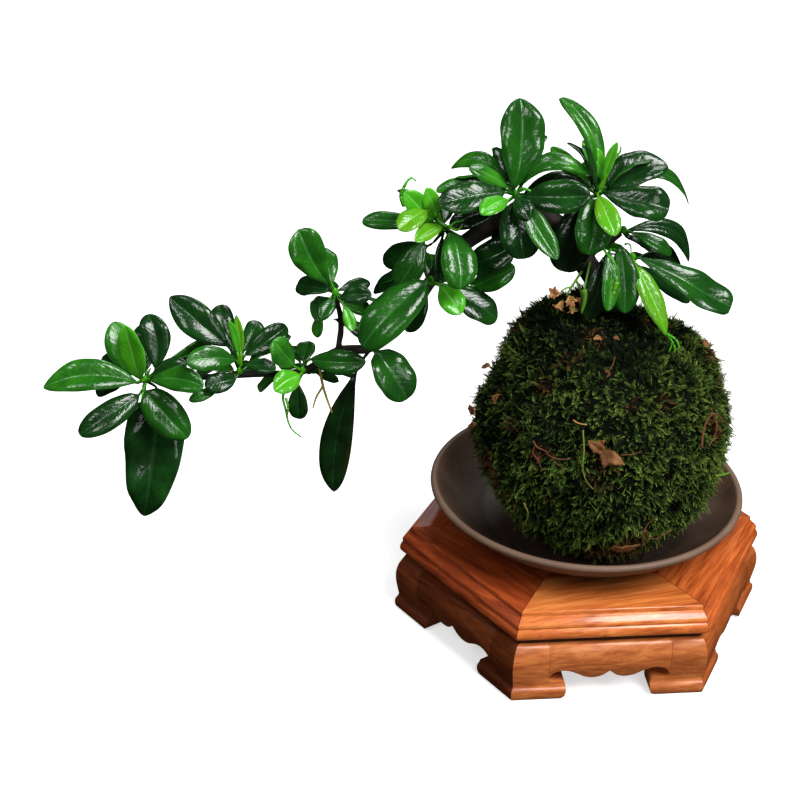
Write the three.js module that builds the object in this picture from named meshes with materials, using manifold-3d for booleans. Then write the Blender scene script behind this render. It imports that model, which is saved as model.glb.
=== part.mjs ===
// A kokedama: a small evergreen shrub in a moss ball, on a stoneware saucer and a
// six-sided hardwood stand. Millimetres, +Z up.
import * as THREE from 'three';
import { mergeVertices } from 'three/addons/utils/BufferGeometryUtils.js';
import Module from 'manifold-3d';

const wasm = await Module();
wasm.setup();

// Driving dimensions
const STAND_HEIGHT = 40;
const SIDES = 6;
const GAP = 0.3;
const MITRE_GAP = 0.15;
const RAIL_INNER_R = 46;
const RAIL_LEDGE_R = 41;
const RAIL_LEDGE_Z = 33;
const RAIL_BOTTOM_Z = 28.6;
const WAIST_R = 72.8;
const WAIST_INNER_R = 62;
const WAIST_TOP_Z = RAIL_BOTTOM_Z - GAP;
const APRON_TOP_Z = 25;
const APRON_INNER_R = 66;
const LEG_WING = 14.3;
const CORNER_R = 77.6;
const JOINT_GAP = 0.15;
const CORNER_OVERLAP = 0.5;
const SAUCER_R = 64.4;
const SAUCER_RIM_Z = STAND_HEIGHT + 20.1;
const SAUCER_FLOOR_Z = STAND_HEIGHT + 5.3;
const BALL_CENTRE = new THREE.Vector3(2, -11, STAND_HEIGHT + 51);
const MOSS_R = 50.5;
const MOSS_BUMP = 1.1;
const MOSS_THICKNESS = 7.2;
const MOSS_FLOOR_THICKNESS = 6.2;
const SOIL_R = MOSS_R - MOSS_THICKNESS;
const TRUNK_HOLE_R = 7.2;
const TRUNK_SOCKET_DEPTH = 12;
const TRUNK_SOCKET_R = 5.8;
const BLADE_THICKNESS = 0.7;
const HUB_COVER = 2.6;
const DEPTH_SPREAD = 1.4;
const TWIG_SIDES = 6;
const SAUCER_SEGMENTS = 36;
const BALL_SEGMENTS = 36;
const SOIL_SEGMENTS = 24;
const HOLE_SEGMENTS = 16;
// Outlines are cut through the stand's rim between these two depths, up to this height
const CUT_FROM = 50;
const CUT_TO = 90;
const CUT_TOP_Z = 30;
// Farther out than any part of the stand, and clear of the ball's top
const SECTOR_REACH = 100;
const HOLE_MARGIN = 10;

// Colours, roughness and metalness of each material
const material = (color, roughness) => new THREE.MeshStandardMaterial({ color, roughness, metalness: 0 });
const TOP_WOOD = material(0xb5622c, 0.42);
const APRON_WOOD = material(0xa9663a, 0.48);
const WAIST_WOOD = material(0x5a2f18, 0.6);
const STONEWARE = material(0x4b3c34, 0.75);
const SOIL = material(0x2a1d14, 0.95);
const MOSS = material(0x35491a, 0.95);
const BARK = material(0x3a2a1e, 0.85);
const LEAF = material(0x1f4d1c, 0.35);
const DRY_STALK = material(0xb48a62, 0.8);

// Geometry to solid and back
function solid(geometry) {
  const bare = geometry.clone();
  bare.deleteAttribute('normal');
  bare.deleteAttribute('uv');
  const merged = mergeVertices(bare, 1e-4);
  const vertProperties = new Float32Array(merged.attributes.position.array);
  const triVerts = new Uint32Array(merged.index.array);
  let made = new wasm.Manifold(new wasm.Mesh({ numProp: 3, vertProperties, triVerts }));
  if (made.volume() < 0) {
    for (let i = 0; i < triVerts.length; i += 3) {
      [triVerts[i], triVerts[i + 1]] = [triVerts[i + 1], triVerts[i]];
    }
    made = new wasm.Manifold(new wasm.Mesh({ numProp: 3, vertProperties, triVerts }));
  }
  return made;
}

function geometryOf(made) {
  const mesh = made.getMesh();
  const geometry = new THREE.BufferGeometry();
  geometry.setAttribute('position', new THREE.BufferAttribute(mesh.vertProperties, 3));
  geometry.setIndex(new THREE.BufferAttribute(mesh.triVerts, 1));
  geometry.computeVertexNormals();
  return geometry;
}

const group = new THREE.Group();

function place(name, made, finish) {
  const body = new THREE.Mesh(geometryOf(made), finish);
  body.name = name;
  group.add(body);
  return body;
}

const joined = (parts) => parts.reduce((sum, part) => sum.add(part));
const radians = THREE.MathUtils.degToRad;
const points = (pairs) => pairs.map(([x, y]) => new THREE.Vector2(x, y));

// A profile of [radius, height] turned about Z. Six segments make a hexagon whose
// flat sides face -Y, and the radius is then the one at the corners.
function turned(pairs, segments) {
  const geometry = new THREE.LatheGeometry(points(pairs), segments);
  geometry.rotateX(Math.PI / 2);
  geometry.rotateZ(radians(30));
  return solid(geometry);
}

// A flat outline of [along the side, height], cut through the side that faces `angle`
function throughSide(pairs, angle) {
  const geometry = new THREE.ExtrudeGeometry(new THREE.Shape(points(pairs)), {
    depth: CUT_TO - CUT_FROM,
    bevelEnabled: false,
    steps: 1,
  });
  geometry.rotateX(Math.PI / 2);
  geometry.translate(0, -CUT_FROM, 0);
  geometry.rotateZ(radians(angle + 90));
  return solid(geometry);
}

// The sixth of the stand that belongs to the side facing `angle`, cut back by `gap`
// from each mitre
function sixth(angle, height, gap = MITRE_GAP) {
  const start = gap / Math.sin(Math.PI / SIDES);
  const half = SECTOR_REACH * Math.tan(Math.PI / SIDES);
  const geometry = new THREE.ExtrudeGeometry(
    new THREE.Shape(points([[start, 0], [start + SECTOR_REACH, -half], [start + SECTOR_REACH, half]])),
    { depth: height, bevelEnabled: false, steps: 1 },
  );
  geometry.rotateZ(radians(angle));
  return solid(geometry);
}

// Stand. Sides and corners are numbered from the front, anticlockwise from above.
const sideAngle = (k) => 270 + (360 / SIDES) * k;
const cornerAngle = (k) => 240 + (360 / SIDES) * k;

const RAIL_PROFILE = [
  [RAIL_LEDGE_R, RAIL_BOTTOM_Z], [75.9, RAIL_BOTTOM_Z], [76.7, 29.3], [76.9, 30.9], [76.5, 32.4],
  [75.2, 33.5], [75.3, 35.2], [74.7, 36.9], [73.5, 38.0], [72.6, 38.3], [72.6, 39.3], [72.0, STAND_HEIGHT],
  [RAIL_INNER_R, STAND_HEIGHT], [RAIL_INNER_R, RAIL_LEDGE_Z], [RAIL_LEDGE_R, RAIL_LEDGE_Z],
  [RAIL_LEDGE_R, RAIL_BOTTOM_Z],
];
const WAIST_BOTTOM_Z = APRON_TOP_Z + GAP;
const WAIST_PROFILE = [
  [WAIST_INNER_R, WAIST_BOTTOM_Z], [WAIST_R, WAIST_BOTTOM_Z], [WAIST_R, WAIST_TOP_Z],
  [WAIST_INNER_R, WAIST_TOP_Z], [WAIST_INNER_R, WAIST_BOTTOM_Z],
];
const APRON_PROFILE = [
  [APRON_INNER_R, 0], [76.9, 0], [77.8, 1.2], [78.1, 3.1], [77.7, 4.8], [76.7, 5.7], [76.5, 7.2],
  [77.1, 9.6], [77.8, 13], [78.1, 16.5], [77.8, 19.5], [76.8, 22.4], [75.6, 24.2], [74.6, APRON_TOP_Z],
  [APRON_INNER_R, APRON_TOP_Z], [APRON_INNER_R, 0],
];
// Half of the scalloped lower edge, from the middle cusp out to the joint with the leg
const JOINT_AT = CORNER_R / 2 - LEG_WING;
const APRON_EDGE = [
  [0, 13.4], [1.2, 12.3], [3.2, 10.8], [6.5, 10.0], [10, 10.7], [12.6, 12.2], [15.4, 13.6],
  [18.4, 14.3], [21.2, 13.9], [23.4, 12.4], [JOINT_AT - JOINT_GAP, 10.6],
];
// The leg's outline along one side, from its joint down round the foot's inner end
const FOOT_EDGE = [
  [JOINT_AT + JOINT_GAP, APRON_TOP_Z], [JOINT_AT + JOINT_GAP, 10.4], [23.8, 9.0], [22.2, 8.2], [18.6, 7.8],
  [17.3, 6.7], [17.0, 4.2], [17.5, 1.7], [18.9, 0.3], [20.2, 0],
];
const PAST_CORNER = CORNER_R / 2 + 3;

function makeStand() {
  const railRing = turned(RAIL_PROFILE, SIDES);
  const waistRing = turned(WAIST_PROFILE, SIDES);
  const apronRing = turned(APRON_PROFILE, SIDES);
  const apronOutline = [
    ...APRON_EDGE.map(([s, z]) => [-s, z]).reverse(),
    ...APRON_EDGE.slice(1),
    [JOINT_AT - JOINT_GAP, APRON_TOP_Z + 1],
    [JOINT_GAP - JOINT_AT, APRON_TOP_Z + 1],
  ];
  const footOutline = [
    ...FOOT_EDGE.slice(1), [PAST_CORNER, 0], [PAST_CORNER, CUT_TOP_Z], [JOINT_AT + JOINT_GAP, CUT_TOP_Z],
  ];
  const mirrored = footOutline.map(([s, z]) => [-s, z]).reverse();
  for (let k = 0; k < SIDES; k += 1) {
    const number = k + 1;
    const angle = sideAngle(k);
    const corner = cornerAngle(k);
    place(`top_rail_${number}`, railRing.intersect(sixth(angle, STAND_HEIGHT + 1)), TOP_WOOD);
    place(`waist_${number}`, waistRing.intersect(sixth(angle, STAND_HEIGHT)), WAIST_WOOD);
    place(`apron_${number}`, apronRing.intersect(throughSide(apronOutline, angle)), APRON_WOOD);
    const wings = [[footOutline, corner - 30], [mirrored, corner + 30]].map(([outline, facing]) =>
      throughSide(outline, facing).intersect(sixth(facing, STAND_HEIGHT, -CORNER_OVERLAP)));
    place(`leg_${number}`, apronRing.intersect(joined(wings)), APRON_WOOD);
  }
  const panelR = RAIL_INNER_R - GAP / Math.cos(Math.PI / SIDES);
  const panelZ = RAIL_LEDGE_Z + GAP;
  const panel = [[0, panelZ], [panelR, panelZ], [panelR, STAND_HEIGHT], [0, STAND_HEIGHT]];
  place('top_panel', turned(panel, SIDES), TOP_WOOD);
}

// Saucer: a foot ring, a curved wall and a thick rounded rim
const SAUCER_BASE_Z = STAND_HEIGHT + GAP;
const SAUCER_PROFILE = [
  [0, SAUCER_BASE_Z + 1.4], [30, SAUCER_BASE_Z + 1.4], [31, SAUCER_BASE_Z], [36, SAUCER_BASE_Z],
  [37.5, SAUCER_BASE_Z + 1.2], [47, 44.8], [55.5, 50], [61, 55.2], [SAUCER_R - 0.4, 57.6],
  [SAUCER_R, 59], [SAUCER_R - 0.8, SAUCER_RIM_Z], [SAUCER_R - 2.4, SAUCER_RIM_Z - 0.3],
  [SAUCER_R - 3.6, 58.2], [56.4, 53.3], [50, 48.9], [44, 46.4], [39, SAUCER_FLOOR_Z], [0, SAUCER_FLOOR_Z],
];

// Viewpoint that the plant's places are read from, in the reference picture's pixels
const VIEW = {
  azimuth: radians(-7.14),
  elevation: radians(29.09),
  roll: radians(1.97),
  distance: 778.4,
  focal: 1854.1,
  centre: [400, 400],
  standTop: [582.3, 521.3],
};
const viewBack = new THREE.Vector3(
  Math.sin(VIEW.azimuth) * Math.cos(VIEW.elevation),
  -Math.cos(VIEW.azimuth) * Math.cos(VIEW.elevation),
  Math.sin(VIEW.elevation),
);
const upright = new THREE.Vector3(0, 0, 1);
const levelRight = new THREE.Vector3().crossVectors(upright, viewBack).normalize();
const levelUp = new THREE.Vector3().crossVectors(viewBack, levelRight);
const viewRight = levelRight.clone().multiplyScalar(Math.cos(VIEW.roll))
  .addScaledVector(levelUp, Math.sin(VIEW.roll));
const viewUp = levelUp.clone().multiplyScalar(Math.cos(VIEW.roll))
  .addScaledVector(levelRight, -Math.sin(VIEW.roll));
const viewOut = new THREE.Vector3(viewBack.x, viewBack.y, 0).normalize();
const perPixel = VIEW.distance / VIEW.focal;
const eye = new THREE.Vector3(0, 0, STAND_HEIGHT)
  .addScaledVector(viewBack, VIEW.distance)
  .addScaledVector(viewRight, (VIEW.centre[0] - VIEW.standTop[0]) * perPixel)
  .addScaledVector(viewUp, (VIEW.standTop[1] - VIEW.centre[1]) * perPixel);

const trunkFoot = BALL_CENTRE.clone().add(new THREE.Vector3(-1, 4, MOSS_R));

// The point seen at a pixel, standing `out` mm towards the viewer from the upright
// plane through the trunk's foot that faces the viewpoint
function seen([px, py], out = 0) {
  const ray = viewBack.clone().multiplyScalar(-VIEW.focal)
    .addScaledVector(viewRight, px - VIEW.centre[0])
    .addScaledVector(viewUp, VIEW.centre[1] - py);
  const from = trunkFoot.clone().addScaledVector(viewOut, out).sub(eye);
  return eye.clone().addScaledVector(ray, from.dot(viewOut) / ray.dot(viewOut));
}

// A tapered woody limb through points, each with its own diameter
function limb(stops, extra = 0, steps = 3) {
  const curve = new THREE.CatmullRomCurve3(stops.map((stop) => stop.at));
  const count = steps * (stops.length - 1);
  const frames = curve.computeFrenetFrames(count, false);
  const positions = [];
  const index = [];
  for (let i = 0; i <= count; i += 1) {
    const along = (i / count) * (stops.length - 1);
    const k = Math.min(Math.floor(along), stops.length - 2);
    const diameter = THREE.MathUtils.lerp(stops[k].thick, stops[k + 1].thick, along - k);
    const centre = curve.getPoint(i / count);
    for (let j = 0; j < TWIG_SIDES; j += 1) {
      const angle = (2 * Math.PI * j) / TWIG_SIDES;
      const rim = centre.clone()
        .addScaledVector(frames.normals[i], Math.cos(angle) * (diameter / 2 + extra))
        .addScaledVector(frames.binormals[i], Math.sin(angle) * (diameter / 2 + extra));
      positions.push(rim.x, rim.y, rim.z);
      if (i < count) {
        const a = i * TWIG_SIDES + j;
        const b = i * TWIG_SIDES + ((j + 1) % TWIG_SIDES);
        index.push(a, b, b + TWIG_SIDES, a, b + TWIG_SIDES, a + TWIG_SIDES);
      }
    }
  }
  const last = count * TWIG_SIDES;
  for (let j = 1; j < TWIG_SIDES - 1; j += 1) {
    index.push(0, j + 1, j, last, last + j, last + j + 1);
  }
  const geometry = new THREE.BufferGeometry();
  geometry.setAttribute('position', new THREE.Float32BufferAttribute(positions, 3));
  geometry.setIndex(index);
  return solid(geometry);
}

// Wood: each stop is a pixel, how far it stands out, and the diameter there
const stop = (pixel, out, thick) => ({ at: seen(pixel, out), thick });
const LIMBS = {
  cascade: [
    { at: trunkFoot.clone().add(new THREE.Vector3(0, 0, 4 - TRUNK_SOCKET_DEPTH)), thick: 11 },
    { at: trunkFoot.clone().add(new THREE.Vector3(0, 0, 3)), thick: 10.5 },
    stop([580, 255], 0, 8.8), stop([562, 228], 0, 8), stop([528, 216], -2, 7.6), stop([490, 227], -3, 7),
    stop([455, 252], -2, 6), stop([430, 282], 0, 5.2), stop([402, 322], 2, 4.6), stop([372, 347], 4, 4.1),
    stop([338, 351], 5, 3.6), stop([303, 371], 5, 3.2), stop([257, 374], 4, 2.8), stop([205, 377], 3, 2.4),
    stop([152, 380], 3, 2.0),
  ],
  upperTwig: [stop([338, 351], 5, 2.6), stop([341, 322], 5, 2.4), stop([336, 298], 5, 2.0)],
  shoulderTwig: [stop([466, 243], -2, 3.2), stop([447, 231], 0, 2.4)],
  topTwig: [stop([530, 216], -2, 3.6), stop([517, 197], 0, 2.6)],
  crownTwig: [stop([574, 240], 0, 4.4), stop([590, 216], -3, 3.4), stop([597, 200], -4, 2.6)],
  rightTwig: [stop([583, 258], 0, 3.8), stop([606, 243], -2, 3.0), stop([621, 233], -2, 2.4)],
  lowTwig: [stop([586, 272], 0, 3.8), stop([610, 265], 2, 3.0), stop([630, 259], 4, 2.4)],
};
const wood = (extra) => joined(Object.values(LIMBS).map((stops) => limb(stops, extra)));

// Leaf blades: narrow at the stalk, widest two thirds along and round at the tip
const BLADE_STATIONS = [0, 0.34, 0.7, 0.92, 1];
const STALK_HALF = 0.7;
const TAPER_POWER = 0.9;
const WIDEST_SHARE = 0.4;
const bladeHalf = (t) => (t ** TAPER_POWER * Math.sqrt(1 - t)) / WIDEST_SHARE;

// A blade of even thickness on a stalk that runs from `root` to `base`
function blade({ root, base, tip, wide, arch, roll = 0, facing }) {
  const axis = tip.clone().sub(base);
  const run = axis.clone().normalize();
  const up = facing.clone().addScaledVector(run, -facing.dot(run)).normalize();
  up.applyAxisAngle(run, radians(roll));
  const across = new THREE.Vector3().crossVectors(run, up);
  const stalk = base.clone().sub(root).normalize();
  const rings = BLADE_STATIONS.map((t) => ({
    middle: base.clone().addScaledVector(axis, t).addScaledVector(up, arch * 4 * t * (1 - t)),
    half: Math.max(STALK_HALF, (wide / 2) * bladeHalf(t)),
    along: run,
  }));
  rings[0].along = run.clone().add(stalk).normalize();
  rings.unshift({ middle: root, half: STALK_HALF, along: stalk });
  const positions = [];
  const index = [];
  rings.forEach(({ middle, half, along }, i) => {
    const side = across.clone().addScaledVector(along, -across.dot(along)).normalize();
    const over = new THREE.Vector3().crossVectors(side, along);
    for (const [edge, face] of [[-1, 0.5], [1, 0.5], [1, -0.5], [-1, -0.5]]) {
      const point = middle.clone()
        .addScaledVector(side, edge * half)
        .addScaledVector(over, face * BLADE_THICKNESS);
      positions.push(point.x, point.y, point.z);
    }
    if (i > 0) {
      const b = i * 4;
      const a = b - 4;
      index.push(a, a + 1, b + 1, a, b + 1, b, a + 1, a + 2, b + 2, a + 1, b + 2, b + 1);
      index.push(a + 3, b + 2, a + 2, a + 3, b + 3, b + 2, a + 3, a, b, a + 3, b, b + 3);
    }
  });
  const end = (rings.length - 1) * 4;
  index.push(0, 2, 1, 0, 3, 2, end, end + 1, end + 2, end, end + 2, end + 3);
  const geometry = new THREE.BufferGeometry();
  geometry.setAttribute('position', new THREE.Float32BufferAttribute(positions, 3));
  geometry.setIndex(index);
  return solid(geometry);
}

// One row for each leaf that shows: [stalk end], [tip] in pixels, width in mm, how far the
// two ends stand out, the height of its arch, and its roll about its own length in degrees
const SPRAYS = {
  spray_1: {
    hub: [146, 380], out: 3, thick: 2.0,
    behind: [[-65, 15, 27], [-30, -25, 30], [5, 42, 24], [35, -5, 29], [68, -30, 26]],
    leaves: [
      [[136, 384], [43, 387], 13.5, 4, 6, 3, 0], [[139, 395], [78, 431], 11.5, 6, 14, 2, 0],
      [[140, 379], [126, 325], 10.5, 8, 14, 1, 0], [[138, 377], [110, 322], 11, 0, -4, 2, 0],
      [[138, 375], [101, 356], 8, -1, -12, 1, 0], [[156, 369], [148, 314], 12, 0, -6, 1, 0],
      [[150, 380], [204, 387], 10.5, 7, 14, 2, 0], [[152, 376], [187, 364], 9, 3, 5, 1, 0],
      [[145, 391], [188, 438], 15, 5, 8, 2, 0], [[150, 398], [146, 516], 21, 3, 2, 4, 0],
      [[155, 372], [214, 337], 7, -2, -12, 4, 40],
    ],
  },
  spray_2: {
    hub: [240, 372], out: 4, thick: 2.7,
    behind: [[-50, 20, 26], [-15, -25, 29], [25, 40, 25], [50, -22, 25]],
    leaves: [
      [[228, 346], [170, 298], 15, 0, -6, 2, 0], [[236, 360], [186, 362], 10, 6, 12, 2, 0],
      [[238, 354], [229, 321], 3.4, 4, 6, 0, 0], [[241, 354], [236, 315], 3.4, 4, 2, 0, 0],
      [[236, 378], [205, 386], 8.5, 6, 10, 1, 0], [[243, 352], [258, 320], 8, 0, -8, 1, 0],
      [[245, 355], [287, 326], 10, 0, -5, 2, 0], [[246, 364], [276, 369], 6.5, 8, 12, 1, 0],
      [[219, 388], [189, 400], 5, 7, 10, 1, 0],
    ],
  },
  spray_3: {
    hub: [303, 371], out: 5, thick: 3.2,
    behind: [[-55, -20, 25], [-20, 25, 27], [20, -25, 28], [65, -35, 24]],
    leaves: [
      [[294, 366], [272, 341], 11, 8, 10, 1, 0], [[300, 375], [274, 391], 9.5, 9, 14, 1, 0],
      [[298, 384], [300, 420], 8, 6, 5, 1, 0], [[300, 362], [293, 345], 5, 2, -4, 0, 0],
      [[304, 362], [309, 341], 6, 2, -4, 0, 0], [[310, 367], [365, 361], 10, 9, 12, 2, 0],
    ],
  },
  spray_4: {
    hub: [372, 347], out: 4, thick: 4.1,
    behind: [[-40, -30, 28], [35, 0, 27]],
    leaves: [[[356, 372], [334, 491], 13, 4, 2, 3, 0], [[379, 352], [411, 399], 16, 8, 12, 2, 0]],
  },
  spray_5: {
    hub: [335, 293], out: 5, thick: 2.0,
    behind: [[-60, 15, 25], [-20, 35, 24], [20, -15, 27], [60, 10, 24]],
    leaves: [
      [[331, 286], [303, 230], 14, 7, 10, 2, 0], [[330, 291], [297, 284], 9.5, 2, -6, 1, 0],
      [[334, 300], [318, 322], 7.5, 9, 13, 1, 0], [[339, 290], [370, 281], 6, 2, -4, 1, 0],
      [[340, 298], [372, 295], 8, 8, 10, 1, 0], [[342, 303], [374, 314], 7, 4, 0, 1, 0],
      [[344, 306], [353, 331], 5, 10, 12, 0, 0],
    ],
  },
  spray_6: {
    hub: [430, 282], out: 0, thick: 5.2,
    behind: [[-50, -20, 27], [0, -5, 30], [50, -25, 27]],
    leaves: [
      [[428, 281], [362, 346], 17, 8, 16, 3, 0], [[427, 296], [406, 332], 9, 3, 2, 1, 0],
      [[420, 268], [374, 292], 8, -4, -10, 1, 0], [[440, 286], [460, 314], 10, 8, 14, 1, 0],
      [[446, 288], [492, 319], 12.5, 3, 4, 2, 0], [[472, 284], [512, 254], 15, -2, 1, 1, 0],
    ],
  },
  spray_7: {
    hub: [445, 229], out: 0, thick: 2.4,
    behind: [[-60, 10, 25], [0, 35, 26], [60, 30, 24]],
    leaves: [
      [[420, 224], [362, 221], 7.5, -1, -2, 1, 0], [[428, 244], [381, 258], 6, -5, -15, 1, 0],
      [[450, 231], [461, 288], 14, 6, 16, 2, 0], [[424, 241], [398, 286], 11, 1, 4, 1, 0],
      [[442, 238], [440, 279], 6.5, 3, 8, 1, 0], [[438, 214], [427, 189], 7, 3, 6, 1, 0],
      [[435, 222], [410, 190], 6.5, 4, 8, 1, 0], [[430, 212], [402, 232], 8.5, 8, 14, 1, 0],
      [[441, 226], [415, 242], 6.5, 8, 16, 1, 0],
    ],
  },
  spray_8: {
    hub: [516, 195], out: 0, thick: 2.6,
    behind: [[-62, -18, 25], [-35, 45, 26], [10, 15, 31], [70, 5, 25]],
    leaves: [
      [[512, 188], [520, 98], 16.5, 2, 2, 3, 0], [[508, 187], [470, 167], 7, 1, 4, 1, 0],
      [[509, 184], [450, 161], 5, -4, -8, 5, 20], [[505, 192], [438, 204], 12.5, 5, 10, 2, 0],
      [[498, 187], [436, 190], 7, -2, -4, 1, 0], [[508, 200], [482, 213], 8, 6, 14, 1, 0],
      [[520, 187], [590, 172], 7, 0, 3, 8, 0], [[528, 197], [588, 198], 11, 5, 9, 2, 0],
      [[516, 204], [525, 258], 13.5, 5, 10, 2, 0], [[524, 204], [556, 259], 8, 8, 15, 1, 0],
      [[502, 208], [505, 262], 11, -6, -8, 1, 0], [[517, 199], [532, 216], 6, 8, 11, 1, 0],
      [[500, 206], [449, 225], 9, 2, 3, 1, 0],
    ],
  },
  spray_9: {
    hub: [598, 195], out: -4, thick: 2.6,
    behind: [[-70, 30, 25], [-35, -5, 29], [0, 35, 27], [35, 5, 30], [55, 50, 23]],
    leaves: [
      [[592, 204], [590, 254], 12.5, 4, 9, 2, 0], [[600, 202], [616, 234], 7, 5, 12, 1, 0],
      [[605, 194], [668, 208], 12.5, 0, 5, 2, 0], [[606, 188], [667, 162], 10.5, -5, -8, 2, 0],
      [[612, 184], [691, 201], 5.5, -9, -14, 6, 0], [[598, 184], [562, 97], 8.5, -8, -14, 6, 0],
      [[596, 186], [584, 146], 6.5, 0, 2, 1, 50], [[590, 188], [551, 147], 6, -9, -15, 1, 0],
      [[603, 184], [617, 143], 4, -3, -3, 0, 0], [[584, 212], [568, 271], 14, 6, 4, 1, 0],
    ],
  },
  spray_10: {
    hub: [623, 231], out: -2, thick: 2.4,
    behind: [[-20, -10, 27], [35, 10, 28]],
    leaves: [
      [[630, 229], [691, 258], 7, -4, -8, 5, 0], [[630, 236], [652, 247], 6, -3, -5, 1, 0],
      [[634, 233], [672, 254], 6, -1, 0, 2, 0],
    ],
  },
  spray_11: {
    hub: [632, 258], out: 4, thick: 2.4,
    behind: [[-30, -25, 26], [35, -10, 25]],
    leaves: [
      [[640, 258], [730, 308], 14, 6, 8, 3, 0], [[638, 266], [690, 302], 6.5, 2, -2, 1, 0],
      [[636, 266], [668, 336], 9, 9, 16, 1, 0], [[620, 246], [625, 313], 11.5, 7, 12, 1, 0],
      [[604, 257], [586, 319], 10, 8, 12, 1, 0], [[609, 251], [608, 311], 7, 10, 16, 1, 0],
    ],
  },
};

// A leaf on the far side: degrees turned from straight away from the viewer, degrees
// that it rises, and its length
const AWAY_WIDTH = 11;
const AWAY_STALK = 4;
const AWAY_ARCH = 2;
const AWAY_FACING = upright.clone().addScaledVector(viewOut, -0.4).normalize();
function awayLeaf(hub, [turn, rise, length]) {
  const level = viewOut.clone().multiplyScalar(-Math.cos(radians(rise)));
  const run = level.applyAxisAngle(upright, radians(turn)).setZ(Math.sin(radians(rise)));
  const tip = hub.clone().addScaledVector(run, length);
  const base = hub.clone().addScaledVector(run, AWAY_STALK);
  return blade({ root: hub, base, tip, wide: AWAY_WIDTH, arch: AWAY_ARCH, facing: AWAY_FACING });
}

// Leaves face the viewer and lean back to the light
const LEAF_LEAN = 0.35;
const leafFacing = viewBack.clone().addScaledVector(upright, LEAF_LEAN).normalize();

function makeSpray(name, { hub, out, thick, behind, leaves }, woodClearance) {
  const centre = seen(hub, out);
  const hubBall = new THREE.IcosahedronGeometry(thick / 2 + HUB_COVER, 0);
  hubBall.translate(centre.x, centre.y, centre.z);
  const parts = [solid(hubBall)];
  for (const [from, to, wide, outFrom, outTo, arch, roll] of leaves) {
    const base = seen(from, outFrom);
    const tip = seen(to, out + DEPTH_SPREAD * (outTo - out));
    parts.push(blade({ root: centre, base, tip, wide, arch, roll, facing: leafFacing }));
  }
  parts.push(...behind.map((row) => awayLeaf(centre, row)));
  const whole = joined(parts).subtract(woodClearance);
  const pieces = whole.decompose().sort((a, b) => b.volume() - a.volume());
  place(name, pieces[0], LEAF);
}

// Rolling tufts of the moss, from about -1.7 to 1.7, at a direction from the ball's centre
const tuftAt = ({ x, y, z }) => (
  Math.sin(7 * x + 2.1) * Math.cos(6 * y - 1.3) + 0.7 * Math.sin(9 * z + 5 * x - 4 * y)
);

// Moss: a ball whose surface rolls in low tufts, flat underneath where it stands
const RINGS_PER_SEGMENT = 0.6;
function mossSurface(radius, bump, floorZ, segments) {
  const geometry = new THREE.SphereGeometry(radius, segments, Math.round(segments * RINGS_PER_SEGMENT));
  geometry.rotateX(Math.PI / 2);
  const position = geometry.attributes.position;
  const v = new THREE.Vector3();
  for (let i = 0; i < position.count; i += 1) {
    v.fromBufferAttribute(position, i).normalize();
    v.multiplyScalar(radius + bump * tuftAt(v)).add(BALL_CENTRE);
    v.z = Math.max(v.z, floorZ);
    position.setXYZ(i, v.x, v.y, v.z);
  }
  return solid(geometry);
}

function uprightHole(centre, radius, bottomZ, topZ) {
  const geometry = new THREE.CylinderGeometry(radius, radius, topZ - bottomZ, HOLE_SEGMENTS);
  geometry.rotateX(Math.PI / 2);
  geometry.translate(centre.x, centre.y, (topZ + bottomZ) / 2);
  return solid(geometry);
}

function makeBall() {
  const mossFloor = SAUCER_FLOOR_Z + GAP;
  const soilFloor = mossFloor + MOSS_FLOOR_THICKNESS;
  const ballTop = BALL_CENTRE.z + MOSS_R;
  const outer = mossSurface(MOSS_R, MOSS_BUMP, mossFloor, BALL_SEGMENTS);
  const hollow = mossSurface(SOIL_R + GAP, 0, soilFloor - GAP, SOIL_SEGMENTS);
  const hole = uprightHole(trunkFoot, TRUNK_HOLE_R, BALL_CENTRE.z, ballTop + HOLE_MARGIN);
  place('moss_cover', outer.subtract(hollow).subtract(hole), MOSS);
  const socketFloor = ballTop - MOSS_THICKNESS - TRUNK_SOCKET_DEPTH;
  const socket = uprightHole(trunkFoot, TRUNK_SOCKET_R, socketFloor, ballTop + HOLE_MARGIN);
  place('soil_core', mossSurface(SOIL_R, 0, soilFloor, SOIL_SEGMENTS).subtract(socket), SOIL);
}

// Dry flower stalks that stand on the wood: one forked, one with shrivelled buds
const STALKS = {
  flower_stalk: {
    stems: [
      [stop([319, 362], 5, 1.5), stop([323, 386], 4, 1.3), stop([332, 413], 6, 1.1)],
      [stop([323, 386], 4, 1.3), stop([316, 398], 6, 1.1), stop([313, 408], 7, 1.0)],
    ],
    buds: [],
  },
  dry_buds: {
    stems: [
      [stop([586, 266], 0, 1.6), stop([576, 280], 7, 1.4), stop([566, 296], 9, 1.2)],
      [stop([576, 280], 7, 1.3), stop([582, 296], 9, 1.1), stop([580, 310], 10, 1.0)],
    ],
    buds: [[[566, 297], 9, 3.4], [[580, 309], 10, 2.6]],
  },
};

function makeStalk(name, { stems, buds }, woodClearance) {
  const parts = stems.map((stops) => limb(stops));
  for (const [pixel, out, across] of buds) {
    const centre = seen(pixel, out);
    const bud = new THREE.IcosahedronGeometry(across / 2, 1);
    bud.translate(centre.x, centre.y, centre.z);
    parts.push(solid(bud));
  }
  const pieces = joined(parts).subtract(woodClearance).decompose();
  pieces.sort((a, b) => b.volume() - a.volume());
  place(name, pieces[0], DRY_STALK);
}

makeStand();
place('saucer', turned(SAUCER_PROFILE, SAUCER_SEGMENTS), STONEWARE);
makeBall();
place('trunk', wood(0), BARK);
const woodClearance = wood(GAP);
for (const [name, spray] of Object.entries(SPRAYS)) {
  makeSpray(name, spray, woodClearance);
}
for (const [name, stalk] of Object.entries(STALKS)) {
  makeStalk(name, stalk, woodClearance);
}

// Origin below the middle of the whole, on the surface that the stand rests on
const box = new THREE.Box3().setFromObject(group);
const middle = box.getCenter(new THREE.Vector3());
group.position.set(-middle.x, -middle.y, -box.min.z);

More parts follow.
